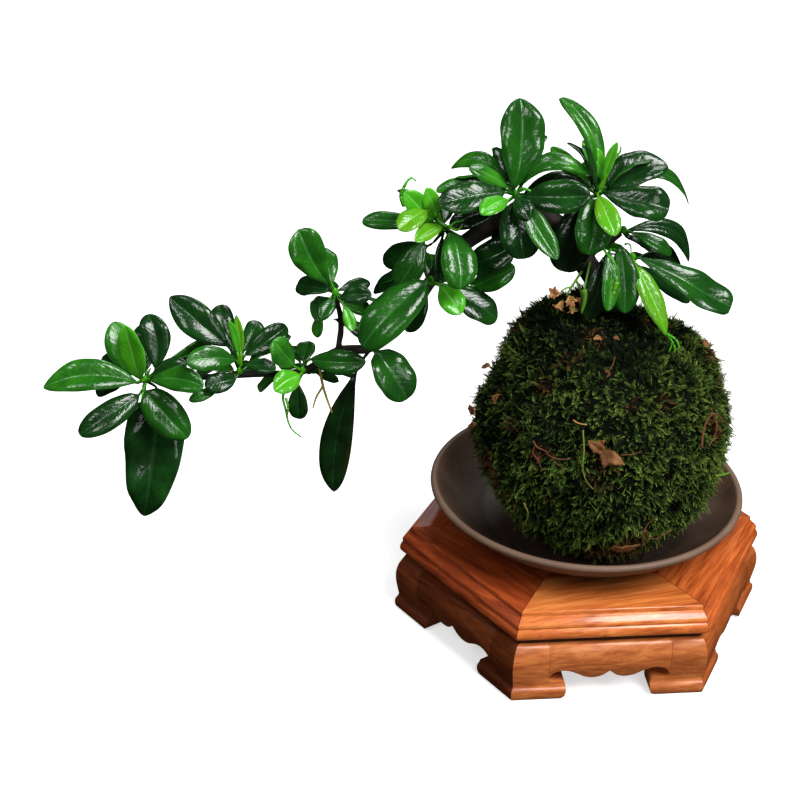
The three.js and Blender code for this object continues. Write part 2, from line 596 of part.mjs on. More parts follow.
export default group;
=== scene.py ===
# %% [markdown]
# # A kokedama on its wooden stand
# A kokedama is a plant whose roots are wrapped in a ball of soil and moss. This one is
# a small evergreen with a bent trunk, on a stoneware saucer and a six-sided stand. The
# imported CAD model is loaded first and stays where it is.

# %% Load the frame
import math
import random

import bpy
import numpy as np
from mathutils import Matrix, Vector, noise


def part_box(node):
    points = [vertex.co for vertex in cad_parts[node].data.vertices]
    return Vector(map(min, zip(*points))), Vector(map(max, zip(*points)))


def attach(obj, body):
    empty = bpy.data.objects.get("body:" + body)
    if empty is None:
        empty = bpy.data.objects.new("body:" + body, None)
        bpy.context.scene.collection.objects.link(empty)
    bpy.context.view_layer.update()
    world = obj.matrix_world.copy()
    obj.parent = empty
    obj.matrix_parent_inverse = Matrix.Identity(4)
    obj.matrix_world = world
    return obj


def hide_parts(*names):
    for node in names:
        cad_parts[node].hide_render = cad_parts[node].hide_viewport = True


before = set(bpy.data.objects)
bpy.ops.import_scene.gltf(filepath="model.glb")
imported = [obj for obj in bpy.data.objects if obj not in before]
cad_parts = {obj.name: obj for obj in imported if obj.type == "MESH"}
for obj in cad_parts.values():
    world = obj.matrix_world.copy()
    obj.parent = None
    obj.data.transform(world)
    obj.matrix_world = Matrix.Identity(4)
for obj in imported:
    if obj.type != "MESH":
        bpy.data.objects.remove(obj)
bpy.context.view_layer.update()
bpy.ops.object.select_all(action="DESELECT")
MM = 0.001
print("CAD nodes:", len(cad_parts))

# %% [markdown]
# ## Places
# The stand's axis is the place to measure from, because the stand is the most regular
# piece. Everything is worked out round an axis at zero, in metres, and moved home at
# the end. The same values as in the part's source are used, so pieces fit their nodes.

# %% Home and main sizes
panel_low, panel_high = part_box("top_panel")
HOME = Vector(((panel_low.x + panel_high.x) / 2, (panel_low.y + panel_high.y) / 2, 0))
STAND_TOP = panel_high.z
BALL_CENTRE = Vector((2 * MM, -11 * MM, STAND_TOP + 51 * MM))
MOSS_R = 50.5 * MM
TRUNK_FOOT = BALL_CENTRE + Vector((-1 * MM, 4 * MM, MOSS_R))
UP = Vector((0, 0, 1))
print("home", [round(v, 4) for v in HOME], "stand top", round(STAND_TOP, 4))

# %% [markdown]
# ## Camera
# The camera stands where the photograph was taken from. Its angles and distance were
# worked out from the stand, whose hexagon gives six known corners. The focal length is
# in pixels of the 800 pixel frame, and the sensor is 36 mm wide.

# %% Viewing angle
AZIMUTH = math.radians(-7.14)
ELEVATION = math.radians(29.09)
ROLL = math.radians(1.97)
DISTANCE = 0.7784
FOCAL_PX = 1854.1
FRAME_PX = 800
MIDDLE_PX = FRAME_PX / 2
STAND_TOP_PX = (582.3, 521.3)
SENSOR_MM = 36
view_back = Vector((
    math.sin(AZIMUTH) * math.cos(ELEVATION),
    -math.cos(AZIMUTH) * math.cos(ELEVATION),
    math.sin(ELEVATION),
))
level_right = UP.cross(view_back).normalized()
level_up = view_back.cross(level_right)
view_right = level_right * math.cos(ROLL) + level_up * math.sin(ROLL)
view_up = level_up * math.cos(ROLL) - level_right * math.sin(ROLL)
view_out = Vector((view_back.x, view_back.y, 0)).normalized()
PER_PIXEL = DISTANCE / FOCAL_PX
eye = (
    Vector((0, 0, STAND_TOP))
    + view_back * DISTANCE
    + view_right * ((MIDDLE_PX - STAND_TOP_PX[0]) * PER_PIXEL)
    + view_up * ((STAND_TOP_PX[1] - MIDDLE_PX) * PER_PIXEL)
)

# %% Make the camera
bpy.ops.object.camera_add()
camera = bpy.context.active_object
camera.name = "camera"
camera.data.lens = FOCAL_PX / FRAME_PX * SENSOR_MM
camera.data.sensor_width = SENSOR_MM
camera.data.clip_start = 0.01
camera.matrix_world = Matrix.Translation(HOME + eye) @ Matrix((
    (view_right.x, view_up.x, view_back.x, 0),
    (view_right.y, view_up.y, view_back.y, 0),
    (view_right.z, view_up.z, view_back.z, 0),
    (0, 0, 0, 1),
))
bpy.context.scene.camera = camera
print("lens", round(camera.data.lens, 2), "mm")


# %% A point of the photograph, in space
def seen(pixel, out=0.0):
    """The point seen at a pixel, `out` mm towards the viewer from the upright plane
    through the trunk's foot that faces the camera."""
    ray = (
        view_back * -FOCAL_PX
        + view_right * (pixel[0] - MIDDLE_PX)
        + view_up * (MIDDLE_PX - pixel[1])
    )
    start = TRUNK_FOOT + view_out * (out * MM) - eye
    return eye + ray * (start.dot(view_out) / ray.dot(view_out))


# %% [markdown]
# ## Floor and light
# A plain white floor and soft light, as in a small studio. The main light is broad and
# high, in front and to the right: the glossy leaves and the stand's mouldings mirror it,
# and the stand's left side is in shade. Three weaker ones come from the left, from low in
# front for the undersides, and from behind for the far side of the moss. The floor glows
# a little, like a light table, and throws no light back up, so shadows on it are pale and
# the dark greens stay dark. A colour transform that leaves colours as they are keeps the
# greens and the red wood as strong as in the photograph.

# %% Floor
FLOOR_SIZE = 24
FLOOR_COLOUR = (0.86, 0.86, 0.86, 1)
FLOOR_GLOW = 0.56
bpy.ops.mesh.primitive_plane_add(size=FLOOR_SIZE, location=(HOME.x, 0, 0))
floor = bpy.context.active_object
floor.name = "floor"
floor_paint = bpy.data.materials.new("floor_paint")
floor_paint.use_nodes = True
floor_shader = floor_paint.node_tree.nodes["Principled BSDF"]
floor_shader.inputs["Base Color"].default_value = FLOOR_COLOUR
floor_shader.inputs["Roughness"].default_value = 0.9
floor_shader.inputs["Emission Color"].default_value = (1, 1, 1, 1)
floor_shader.inputs["Emission Strength"].default_value = FLOOR_GLOW
floor.data.materials.append(floor_paint)
floor.visible_diffuse = False
floor.visible_glossy = False

# %% Room light
ROOM_LIGHT = 0.16
bpy.context.scene.view_settings.view_transform = "Standard"
room = bpy.data.worlds.new("room")
room.use_nodes = True
room.node_tree.nodes["Background"].inputs["Color"].default_value = (1, 1, 1, 1)
room.node_tree.nodes["Background"].inputs["Strength"].default_value = ROOM_LIGHT
room.cycles_visibility.glossy = False
bpy.context.scene.world = room

# %% Soft lights, each aimed at the plant
LIGHT_TARGET = HOME + Vector((-0.06, -0.01, 0.12))
MAIN_STRENGTH = 3.55
MAIN_SPREAD = math.radians(34)
SOFT_LIGHTS = [
    # name, degrees round from the front, degrees up, distance, size, watts
    ("left_light", -52, 42, 1.0, 0.30, 2.1),
    ("low_light", 8, 17, 1.0, 0.34, 1.2),
    ("back_light", 160, 48, 1.1, 0.50, 3.2),
]


def toward_light(round_by, rise):
    """The way from the plant to a light, from two angles in degrees."""
    a, e = math.radians(round_by), math.radians(rise)
    return Vector((math.sin(a) * math.cos(e), -math.cos(a) * math.cos(e), math.sin(e)))


def add_light(name, kind, toward, away):
    bpy.ops.object.light_add(type=kind, location=LIGHT_TARGET + toward * away)
    light = bpy.context.active_object
    light.name = name
    light.rotation_mode = "QUATERNION"
    light.rotation_quaternion = toward.to_track_quat("Z", "Y")
    return light


main_light = add_light("main_light", "SUN", toward_light(40, 53), 1)
main_light.data.energy = MAIN_STRENGTH
main_light.data.angle = MAIN_SPREAD
for name, round_by, rise, away, size, watts in SOFT_LIGHTS:
    light = add_light(name, "AREA", toward_light(round_by, rise), away)
    light.data.size = size
    light.data.energy = watts
print("lights:", 1 + len(SOFT_LIGHTS))


# %% [markdown]
# ## Modelling helpers
# Turned and moulded pieces start from an outline. By hand it would be drawn by
# extruding one vertex from point to point, and that is what `draw_outline` does.
# The other helpers turn faces outward, ease sharp edges, copy a mesh, move it home and
# hand it over to the frame.

# %% Select one piece, or none
def select_only(piece=None):
    bpy.ops.object.select_all(action="DESELECT")
    if piece:
        piece.select_set(True)
        bpy.context.view_layer.objects.active = piece


# %% Draw an outline by extruding a vertex
def draw_outline(name, corners, closed=True):
    """A new object in edit mode, with the outline through `corners` selected."""
    select_only()
    bpy.ops.mesh.primitive_plane_add(size=MM, location=(0, 0, 0))
    piece = bpy.context.active_object
    piece.name = name
    piece.data.name = name
    bpy.ops.object.mode_set(mode="EDIT")
    bpy.ops.mesh.merge(type="CENTER")
    bpy.ops.transform.translate(value=corners[0])
    path = [*corners, corners[0]] if closed else corners
    for here, there in zip(path, path[1:]):
        bpy.ops.mesh.extrude_region_move(TRANSFORM_OT_translate={"value": there - here})
    bpy.ops.mesh.select_all(action="SELECT")
    if closed:
        bpy.ops.mesh.remove_doubles(threshold=MM / 1000)
        bpy.ops.mesh.edge_face_add()
    return piece


def curve_through(corners, per_span=4):
    """Points on a smooth curve through `corners`, which are pairs."""
    made = []
    for i in range(len(corners) - 1):
        a, b = corners[max(i - 1, 0)], corners[i]
        c, d = corners[i + 1], corners[min(i + 2, len(corners) - 1)]
        for k in range(per_span):
            t = k / per_span
            made.append(tuple(
                0.5 * (2 * q + (r - p) * t + (2 * p - 5 * q + 4 * r - s) * t**2
                       + (3 * q - p - 3 * r + s) * t**3)
                for p, q, r, s in zip(a, b, c, d)
            ))
    return [*made, tuple(corners[-1])]


# %% Modifiers, faces and shading
EDGE_ANGLE = 50
SMOOTH_ANGLE = 40


def apply_modifier(piece, kind, **settings):
    select_only(piece)
    modifier = piece.modifiers.new(kind.lower(), kind)
    for key, value in settings.items():
        setattr(modifier, key, value)
    bpy.ops.object.modifier_apply(modifier=modifier.name)


def close_shell(merge=None):
    """In edit mode: merges doubles nearer than `merge` and turns every face outward."""
    bpy.ops.mesh.select_all(action="SELECT")
    if merge:
        bpy.ops.mesh.remove_doubles(threshold=merge)
    bpy.ops.mesh.normals_make_consistent(inside=False)


def smooth_by_angle(piece, degrees):
    select_only(piece)
    bpy.ops.object.shade_smooth_by_angle(angle=math.radians(degrees))


def shade_smooth(piece):
    piece.data.polygons.foreach_set("use_smooth", [True] * len(piece.data.polygons))


def ease_edges(piece, width):
    """Breaks sharp edges, as sandpaper does, and shades the curves between smooth."""
    apply_modifier(
        piece, "BEVEL", width=width * MM, segments=2, limit_method="ANGLE",
        angle_limit=math.radians(EDGE_ANGLE), use_clamp_overlap=True,
    )
    smooth_by_angle(piece, SMOOTH_ANGLE)


# %% Copies and hand-over
def copy_of(piece, name, matrix):
    """A copy with its own mesh, moved by `matrix`."""
    made = piece.copy()
    made.data = piece.data.copy()
    made.name = name
    made.data.name = name
    made.data.transform(matrix)
    bpy.context.scene.collection.objects.link(made)
    return made


def triangles(piece):
    return sum(len(face.vertices) - 2 for face in piece.data.polygons)


def hand_over(piece, node, slot, *materials):
    """Moves a finished piece home. It rides on the part and stands for the node."""
    piece.data.transform(Matrix.Translation(HOME))
    piece.data.materials.clear()
    for material in materials:
        piece.data.materials.append(material)
    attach(piece, "root")
    if node:
        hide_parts(node)


# %% [markdown]
# ## Effects that several materials share
# A node group is a small machine with named inputs and outputs, built once. The first
# gives wood grain: wavy bands, thin strokes and short dark pores that run the same
# way. The second gives a cloudy patchiness at two sizes, for clay, bark, leaves, moss,
# straw and soil. Small helpers make one node each and return what it puts out.

# %% Build a node group
def feed(tree, socket, value):
    """Sets a socket to a number or an (r, g, b) colour, or links another socket to it."""
    if isinstance(value, (int, float)):
        socket.default_value = value
    elif isinstance(value, tuple):
        socket.default_value = (*value, 1)
    elif value is not None:
        tree.links.new(value, socket)


def new_group(name, inputs, outputs):
    """A node group with named inputs and outputs, and its two end nodes."""
    group = bpy.data.node_groups.new(name, "ShaderNodeTree")
    for label, kind, value in inputs:
        socket = group.interface.new_socket(label, in_out="INPUT", socket_type=kind)
        if value is not None:
            socket.default_value = value
    for label, kind in outputs:
        group.interface.new_socket(label, in_out="OUTPUT", socket_type=kind)
    start = group.nodes.new("NodeGroupInput")
    end = group.nodes.new("NodeGroupOutput")
    return group, start, end


def math_node(tree, operation, first, second=None, third=None):
    """A Math node whose inputs are numbers or sockets. Returns its result."""
    node = tree.nodes.new("ShaderNodeMath")
    node.operation = operation
    for socket, value in zip(node.inputs, (first, second, third)):
        feed(tree, socket, value)
    return node.outputs[0]


def noise_node(tree, vector, scale, detail=3.0, roughness=0.55, distortion=0.0):
    node = tree.nodes.new("ShaderNodeTexNoise")
    feed(tree, node.inputs["Scale"], scale)
    node.inputs["Detail"].default_value = detail
    node.inputs["Roughness"].default_value = roughness
    node.inputs["Distortion"].default_value = distortion
    tree.links.new(vector, node.inputs["Vector"])
    return node.outputs["Fac"]


def remap(tree, value, low, high, to_low=0.0, to_high=1.0):
    node = tree.nodes.new("ShaderNodeMapRange")
    node.inputs["From Min"].default_value = low
    node.inputs["From Max"].default_value = high
    node.inputs["To Min"].default_value = to_low
    node.inputs["To Max"].default_value = to_high
    tree.links.new(value, node.inputs["Value"])
    return node.outputs["Result"]


def vector_node(tree, operation, vector, fixed, result="Vector"):
    """A Vector Math node between a socket and a fixed vector."""
    node = tree.nodes.new("ShaderNodeVectorMath")
    node.operation = operation
    tree.links.new(vector, node.inputs[0])
    node.inputs[1].default_value = fixed
    return node.outputs[result]


def axes(tree, vector):
    """The X, Y and Z sockets of a vector."""
    node = tree.nodes.new("ShaderNodeSeparateXYZ")
    tree.links.new(vector, node.inputs[0])
    return node.outputs


# %% Wood grain group
grain, grain_in, grain_out = new_group(
    "wood_grain",
    [("Board", "NodeSocketVector", None)],
    [("Figure", "NodeSocketFloat"), ("Pores", "NodeSocketFloat"), ("Cloud", "NodeSocketFloat")],
)
board = grain_in.outputs["Board"]


def along_board(share, scale, **settings):
    """Noise drawn out along the board, to `share` of its fineness across it."""
    drawn_out = vector_node(grain, "MULTIPLY", board, (share, 1.0, 1.0))
    return noise_node(grain, drawn_out, scale, **settings)


bands = along_board(0.10, 150, detail=3, distortion=1.1)
strokes = along_board(0.09, 620, detail=3, distortion=0.5)
mixed = math_node(
    grain, "MULTIPLY_ADD", bands, 0.55, math_node(grain, "MULTIPLY", strokes, 0.45)
)
grain.links.new(mixed, grain_out.inputs["Figure"])
pores = along_board(0.05, 1700, detail=2)
grain.links.new(remap(grain, pores, 0.58, 0.70), grain_out.inputs["Pores"])
grain.links.new(noise_node(grain, board, 26, detail=2), grain_out.inputs["Cloud"])

# %% Patches group
patches, patches_in, patches_out = new_group(
    "patches",
    [("Place", "NodeSocketVector", None), ("Size", "NodeSocketFloat", 60.0)],
    [("Broad", "NodeSocketFloat"), ("Fine", "NodeSocketFloat")],
)
FINER = 9.0
where, size = patches_in.outputs["Place"], patches_in.outputs["Size"]
finer_size = math_node(patches, "MULTIPLY", size, FINER)
broad = noise_node(patches, where, size, detail=4, roughness=0.5)
fine = noise_node(patches, where, finer_size, detail=5, roughness=0.5)
patches.links.new(broad, patches_out.inputs["Broad"])
patches.links.new(fine, patches_out.inputs["Fine"])
print("groups:", grain.name, patches.name)


# %% Start a material
def new_material(name, roughness, coat=0.0, coat_roughness=0.1):
    """A material, its node tree, its shader and its Object coordinates."""
    material = bpy.data.materials.new(name)
    material.use_nodes = True
    tree = material.node_tree
    shader = tree.nodes["Principled BSDF"]
    shader.inputs["Roughness"].default_value = roughness
    shader.inputs["Coat Weight"].default_value = coat
    shader.inputs["Coat Roughness"].default_value = coat_roughness
    place = tree.nodes.new("ShaderNodeTexCoord").outputs["Object"]
    return material, tree, shader, place


def use_group(tree, group, **values):
    node = tree.nodes.new("ShaderNodeGroup")
    node.node_tree = group
    for label, value in values.items():
        feed(tree, node.inputs[label], value)
    return node.outputs


def attribute(tree, name):
    """A number that the mesh keeps for each vertex."""
    node = tree.nodes.new("ShaderNodeAttribute")
    node.attribute_name = name
    return node.outputs["Fac"]


def ramp(tree, value, stops):
    """A colour ramp from (position, (r, g, b)) stops, in linear colour."""
    node = tree.nodes.new("ShaderNodeValToRGB")
    tree.links.new(value, node.inputs["Fac"])
    elements = node.color_ramp.elements
    while len(elements) < len(stops):
        elements.new(0.5)
    for element, (position, colour) in zip(elements, stops):
        element.position = position
        element.color = (*colour, 1)
    return node.outputs["Color"]


def mix_colour(tree, amount, first, second):
    node = tree.nodes.new("ShaderNodeMix")
    node.data_type = "RGBA"
    for i, value in ((0, amount), (6, first), (7, second)):
        feed(tree, node.inputs[i], value)
    return node.outputs[2]


def bump(tree, shader, height, strength, distance):
    node = tree.nodes.new("ShaderNodeBump")
    node.inputs["Strength"].default_value = strength
    node.inputs["Distance"].default_value = distance
    tree.links.new(height, node.inputs["Height"])
    tree.links.new(node.outputs["Normal"], shader.inputs["Normal"])


# %% [markdown]
# ## Stand wood
# The stand is lacquered reddish hardwood. Each board's grain runs along its own side,
# a little askew, and the mitres show because the grain changes there. The tone changes
# there too, as painted shade: lightest on the lit front side, darker and redder on the
# sides turned from the main light. So the wood is a function that makes one material
# for each side, and no two are alike.

# %% Wood for one side
SIDES = 6
TURN = 2 * math.pi / SIDES
# Tones by side are painted shade. The lit front is lightest, and the sides turned from the main
# light are darker and redder, on the top boards and on the aprons.
LIT_FRONT_WOOD = ((0.34, 0.066, 0.012), (0.70, 0.178, 0.036), (0.96, 0.340, 0.090))
HALF_SHADED_WOOD = ((0.30, 0.052, 0.010), (0.60, 0.125, 0.024), (0.82, 0.215, 0.050))
SHADED_WOOD = ((0.125, 0.019, 0.005), (0.320, 0.052, 0.011), (0.500, 0.100, 0.022))
APRON_LIT = ((0.27, 0.060, 0.013), (0.51, 0.140, 0.034), (0.68, 0.235, 0.068))
APRON_HALF_SHADED = ((0.20, 0.040, 0.009), (0.40, 0.094, 0.020), (0.54, 0.160, 0.042))
APRON_SHADED = ((0.060, 0.011, 0.003), (0.140, 0.028, 0.006), (0.215, 0.052, 0.012))
DARK_TONES = ((0.022, 0.007, 0.003), (0.050, 0.016, 0.006), (0.09, 0.030, 0.011))
TOP_LIT_AND_SHADED = (LIT_FRONT_WOOD, HALF_SHADED_WOOD, SHADED_WOOD, HALF_SHADED_WOOD, SHADED_WOOD, SHADED_WOOD)
APRON_LIT_AND_SHADED = (APRON_LIT, APRON_HALF_SHADED, APRON_SHADED, APRON_HALF_SHADED, APRON_SHADED, APRON_SHADED)
SLANTS = (-11, 6, -5, 9, 5, -7)
SIDE_SHIFT = (0.07, 0.031, 0.013)
COATS = (0.75, 0.30, 0.25, 0.40, 0.25, 0.30)


def wood(name, side, tones, roughness, coat):
    """Wood for one side, whose number turns the grain and picks another stretch of it."""
    material, tree, shader, place = new_material(name, roughness, coat, 0.16)
    shader.inputs["Specular IOR Level"].default_value = 0.3
    mapping = tree.nodes.new("ShaderNodeMapping")
    mapping.inputs["Location"].default_value = [step * side for step in SIDE_SHIFT]
    slant = math.radians(SLANTS[int(side) % SIDES])
    mapping.inputs["Rotation"].default_value = (0, 0, slant - TURN * side)
    tree.links.new(vector_node(tree, "SUBTRACT", place, HOME), mapping.inputs["Vector"])
    look = use_group(tree, grain, Board=mapping.outputs["Vector"])
    dark, middle, light = tones
    figure = ramp(tree, look["Figure"], [(0.36, dark), (0.50, middle), (0.63, light)])
    cloud = remap(tree, look["Cloud"], 0.40, 0.70, 0.0, 0.45)
    clouded = mix_colour(tree, cloud, figure, middle)
    pored = mix_colour(tree, math_node(tree, "MULTIPLY", look["Pores"], 0.5), clouded, dark)
    tree.links.new(pored, shader.inputs["Base Color"])
    polish = remap(tree, look["Figure"], 0.35, 0.65, roughness + 0.06, roughness - 0.06)
    tree.links.new(polish, shader.inputs["Roughness"])
    bump(tree, shader, look["Pores"], 0.2, -0.08 * MM)
    return material


TOP_WOOD = [
    wood(f"top_wood_{k + 1}", k, TOP_LIT_AND_SHADED[k], 0.38, COATS[k]) for k in range(SIDES)
]
APRON_WOOD = [
    wood(f"apron_wood_{k + 1}", k, APRON_LIT_AND_SHADED[k], 0.42, 0.4 * COATS[k]) for k in range(SIDES)
]
WAIST_WOOD = wood("waist_wood", 0.5, DARK_TONES, 0.55, 0.0)
PANEL_WOOD = wood("panel_wood", 6.5, SHADED_WOOD, 0.36, 0.3)
print("woods:", len(TOP_WOOD) + len(APRON_WOOD) + 2)

# %% [markdown]
# ## Mitred top boards
# The top is a frame of six boards. Each has a bead, a big round moulding and a lip on
# its outer edge, and mitred ends. A real one is run through a moulding cutter, then
# sawn to 30 degrees. The outline is extruded along the side in the same way, and the
# ends are cut off with bisect. One board is made and turned round five times.

# %% Outline of a board
HEX = math.cos(math.radians(30))
RAIL_INNER_R = 46
RAIL_LEDGE_R = 41
RAIL_LEDGE_Z = 33
RAIL_BOTTOM_Z = 28.6
STAND_TOP_Z = 40
LIP = [(75.7, 28.6), (76.4, 29.0), (76.8, 30.2), (76.6, 31.7), (76.1, 32.7), (75.5, 33.2)]
ROUND = [
    (75.5, 33.2), (75.8, 34.0), (75.7, 35.0), (75.1, 35.8), (73.8, 37.0), (73.3, 37.6),
    (73.0, 37.6),
]
BEAD = [(72.75, 37.9), (72.65, 39.3), (72.3, 39.85), (71.8, 40.0)]
RAIL_OUTLINE = [
    (RAIL_LEDGE_R, RAIL_BOTTOM_Z), *curve_through(LIP)[:-1], *curve_through(ROUND),
    *curve_through(BEAD), (RAIL_INNER_R, STAND_TOP_Z), (RAIL_INNER_R, RAIL_LEDGE_Z),
    (RAIL_LEDGE_R, RAIL_LEDGE_Z),
]
SIDE_REACH = 52


def on_front_side(radius, height, along=0.0):
    """A point of the front side, from a corner radius and a height in mm."""
    return Vector((along * MM, -radius * HEX * MM, height * MM))


# %% Extrude it and saw the mitres
MITRE_GAP = 0.15


def extrude_by(way):
    bpy.ops.mesh.extrude_region_move(TRANSFORM_OT_translate={"value": way})
    close_shell()


def side_prism(name, outline, sawn=(), gap=0.0):
    """The outline, given by corner radius and height, run along the front side. Its
    ends in `sawn`, -1 or 1, are sawn off at the mitre."""
    piece = draw_outline(name, [on_front_side(r, z, -SIDE_REACH) for r, z in outline])
    extrude_by((2 * SIDE_REACH * MM, 0, 0))
    for end in sawn:
        mitre = Vector((end * math.cos(TURN / 2), math.sin(TURN / 2), 0))
        bpy.ops.mesh.select_all(action="SELECT")
        bpy.ops.mesh.bisect(
            plane_co=mitre * (-gap * MM), plane_no=mitre, use_fill=True, clear_outer=True
        )
    bpy.ops.object.mode_set(mode="OBJECT")
    return piece


def six_of(piece, name, node, slot, woods, start=0.0):
    """Copies the piece to each side, with that side's woods, and deletes the pattern."""
    copies = []
    for k in range(SIDES):
        made = copy_of(piece, f"{name}_{k + 1}", Matrix.Rotation(TURN * (k + start), 4, "Z"))
        hand_over(made, f"{node}_{k + 1}", slot, *woods[k])
        copies.append(made)
    bpy.data.objects.remove(piece)
    print(name, "triangles", triangles(made))
    return copies


board = side_prism("board", RAIL_OUTLINE, sawn=(-1, 1), gap=MITRE_GAP)
ease_edges(board, 0.12)
six_of(board, "top_board", "top_rail", "stand_top_wood", [(own,) for own in TOP_WOOD])

# %% [markdown]
# ## Apron and legs
# Below a dark waist, six aprons with a scalloped edge run between six bracket legs.
# Apron and legs share one swelling outline. The scallops are sawn through it, which a
# Boolean with the sawn shape does best. A leg is made as one wing and mirrored at its
# corner, as its two real wings are joined there in a mitre.

# %% Outlines
APRON_INNER_R = 66
APRON_TOP_Z = 25
FOOT_BEAD = [(76.9, 0), (77.7, 0.9), (78.1, 2.9), (77.8, 4.6), (76.7, 5.7)]
SWELL = [
    (76.5, 7.0), (77.1, 9.6), (77.8, 13), (78.1, 16.5), (77.8, 19.5), (76.8, 22.4), (75.6, 24.2),
    (74.6, 25),
]
APRON_OUTLINE = [
    (APRON_INNER_R, 0), *curve_through(FOOT_BEAD), *curve_through(SWELL),
    (APRON_INNER_R, APRON_TOP_Z),
]
CORNER_HALF = 77.6 / 2
LEG_WING = 14.3
JOINT_GAP = 0.06
JOINT_AT = CORNER_HALF - LEG_WING
SCALLOP = [
    (0, 13.4), (1.2, 12.3), (3.2, 10.8), (6.5, 10.0), (10, 10.7), (12.6, 12.2), (15.4, 13.6),
    (18.4, 14.3), (21.2, 13.9), (23.4, 12.4), (JOINT_AT - JOINT_GAP, 10.6),
]
FOOT_EDGE = [
    (JOINT_AT + JOINT_GAP, 10.4), (23.8, 9.0), (22.2, 8.2), (18.6, 7.8), (17.3, 6.7), (17.0, 4.2),
    (17.5, 1.7), (18.9, 0.3), (20.2, -0.5),
]
SAW_OUT = 100
SAW_TOP = 30
SAW_END = 60


# %% Saw a shape through a piece
def keep_inside(piece, outline):
    """Keeps what lies inside an outline of (along, height) seen from the front."""
    corners = [Vector((s * MM, -SAW_OUT * MM, z * MM)) for s, z in outline]
    cutter = draw_outline("cutter", corners)
    extrude_by((0, SAW_OUT * MM, 0))
    bpy.ops.object.mode_set(mode="OBJECT")
    apply_modifier(piece, "BOOLEAN", operation="INTERSECT", object=cutter, solver="EXACT")
    bpy.data.objects.remove(cutter)


# %% Apron
half_edge = curve_through(SCALLOP, 3)
edge = [(-s, z) for s, z in reversed(half_edge[1:])] + half_edge
apron = side_prism("apron", APRON_OUTLINE)
keep_inside(apron, [*edge, (JOINT_AT - JOINT_GAP, SAW_TOP), (JOINT_GAP - JOINT_AT, SAW_TOP)])
ease_edges(apron, 0.15)
six_of(apron, "scalloped_apron", "apron", "apron_wood", [(own,) for own in APRON_WOOD])

# %% Leg
wing = side_prism("wing", APRON_OUTLINE, sawn=(1,))
foot = curve_through(FOOT_EDGE, 3)
sawn_off = [(SAW_END, foot[-1][1]), (SAW_END, SAW_TOP), (JOINT_AT + JOINT_GAP, SAW_TOP)]
keep_inside(wing, foot + sawn_off)
wing.data.transform(Matrix.Rotation(-TURN / 2, 4, "Z"))
apply_modifier(
    wing, "MIRROR", use_axis=(True, False, False), use_mirror_merge=True,
    merge_threshold=0.02 * MM,
)
ease_edges(wing, 0.15)
on_left_wing = [int(face.center.x < 0) for face in wing.data.polygons]
WING_WOODS = [(APRON_WOOD[k], APRON_WOOD[k - 1]) for k in range(SIDES)]
for leg in six_of(wing, "bracket_leg", "leg", "apron_wood", WING_WOODS, start=-0.5):
    leg.data.polygons.foreach_set("material_index", on_left_wing)

# %% Wood on the nodes that stay
for k in range(SIDES):
    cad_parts[f"waist_{k + 1}"].material_slots[0].material = WAIST_WOOD
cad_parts["top_panel"].material_slots[0].material = PANEL_WOOD

# %% [markdown]
# ## Saucer
# The saucer is unglazed dark stoneware, turned on a wheel. Its outline is drawn from
# the middle of the underside, round the rim and back to the middle, and spun once
# round. The clay's fine roughness is left to the material's bump. Round the ball it is
# darker: a water stain, and painted shade of the ball. The down-facing wall is darkened
# as painted shade, and the rim is paler towards its top.

# %% Clay
# The colour of the water stain and of the painted shade.
WET_AND_SHADED_CLAY = (0.013, 0.0075, 0.0048)
CLAY_DARK = (0.084, 0.044, 0.026)
CLAY = (0.140, 0.078, 0.046)
CLAY_PALE = (0.220, 0.135, 0.090)
clay, tree, shader, place = new_material("clay", 0.58)
look = use_group(tree, patches, Place=place, Size=55.0)
clay_colour = ramp(tree, look["Broad"], [(0.3, CLAY_DARK), (0.55, CLAY), (0.8, CLAY_PALE)])
speckle = remap(tree, look["Fine"], 0.60, 0.72, 0.0, 0.5)
speckled = mix_colour(tree, speckle, clay_colour, CLAY_PALE)
height = axes(tree, place)["Z"]
# Paler towards the top of the rim.
paler_towards_rim_top = remap(tree, height, 57.5 * MM, 60 * MM, 0.0, 0.6)
rim_paled = mix_colour(tree, paler_towards_rim_top, speckled, CLAY_PALE)
level_place = vector_node(tree, "MULTIPLY", place, (1, 1, 0))
from_axis = vector_node(tree, "DISTANCE", level_place, (HOME.x, HOME.y, 0), "Value")
# Darker round the ball: a water stain, and painted shade of the ball on the clay.
wet_and_ball_shade = remap(tree, from_axis, 44 * MM, 61 * MM, 0.85, 0.0)
low_enough = remap(tree, height, 57 * MM, 59 * MM, 1.0, 0.0)
stain_and_ball_shade = math_node(tree, "MULTIPLY", wet_and_ball_shade, low_enough)
# Faces turned down are darkened: painted shade under the saucer's wall.
facing = axes(tree, tree.nodes.new("ShaderNodeNewGeometry").outputs["Normal"])["Z"]
underside_painted_shade = remap(tree, facing, -0.74, -0.86, 0.0, 0.9)
dark = math_node(tree, "MAXIMUM", stain_and_ball_shade, underside_painted_shade)
tree.links.new(mix_colour(tree, dark, rim_paled, WET_AND_SHADED_CLAY), shader.inputs["Base Color"])
dullness = remap(tree, look["Broad"], 0.3, 0.8, 0.5, 0.72)
tree.links.new(dullness, shader.inputs["Roughness"])
bump(tree, shader, look["Fine"], 0.35, 0.15 * MM)

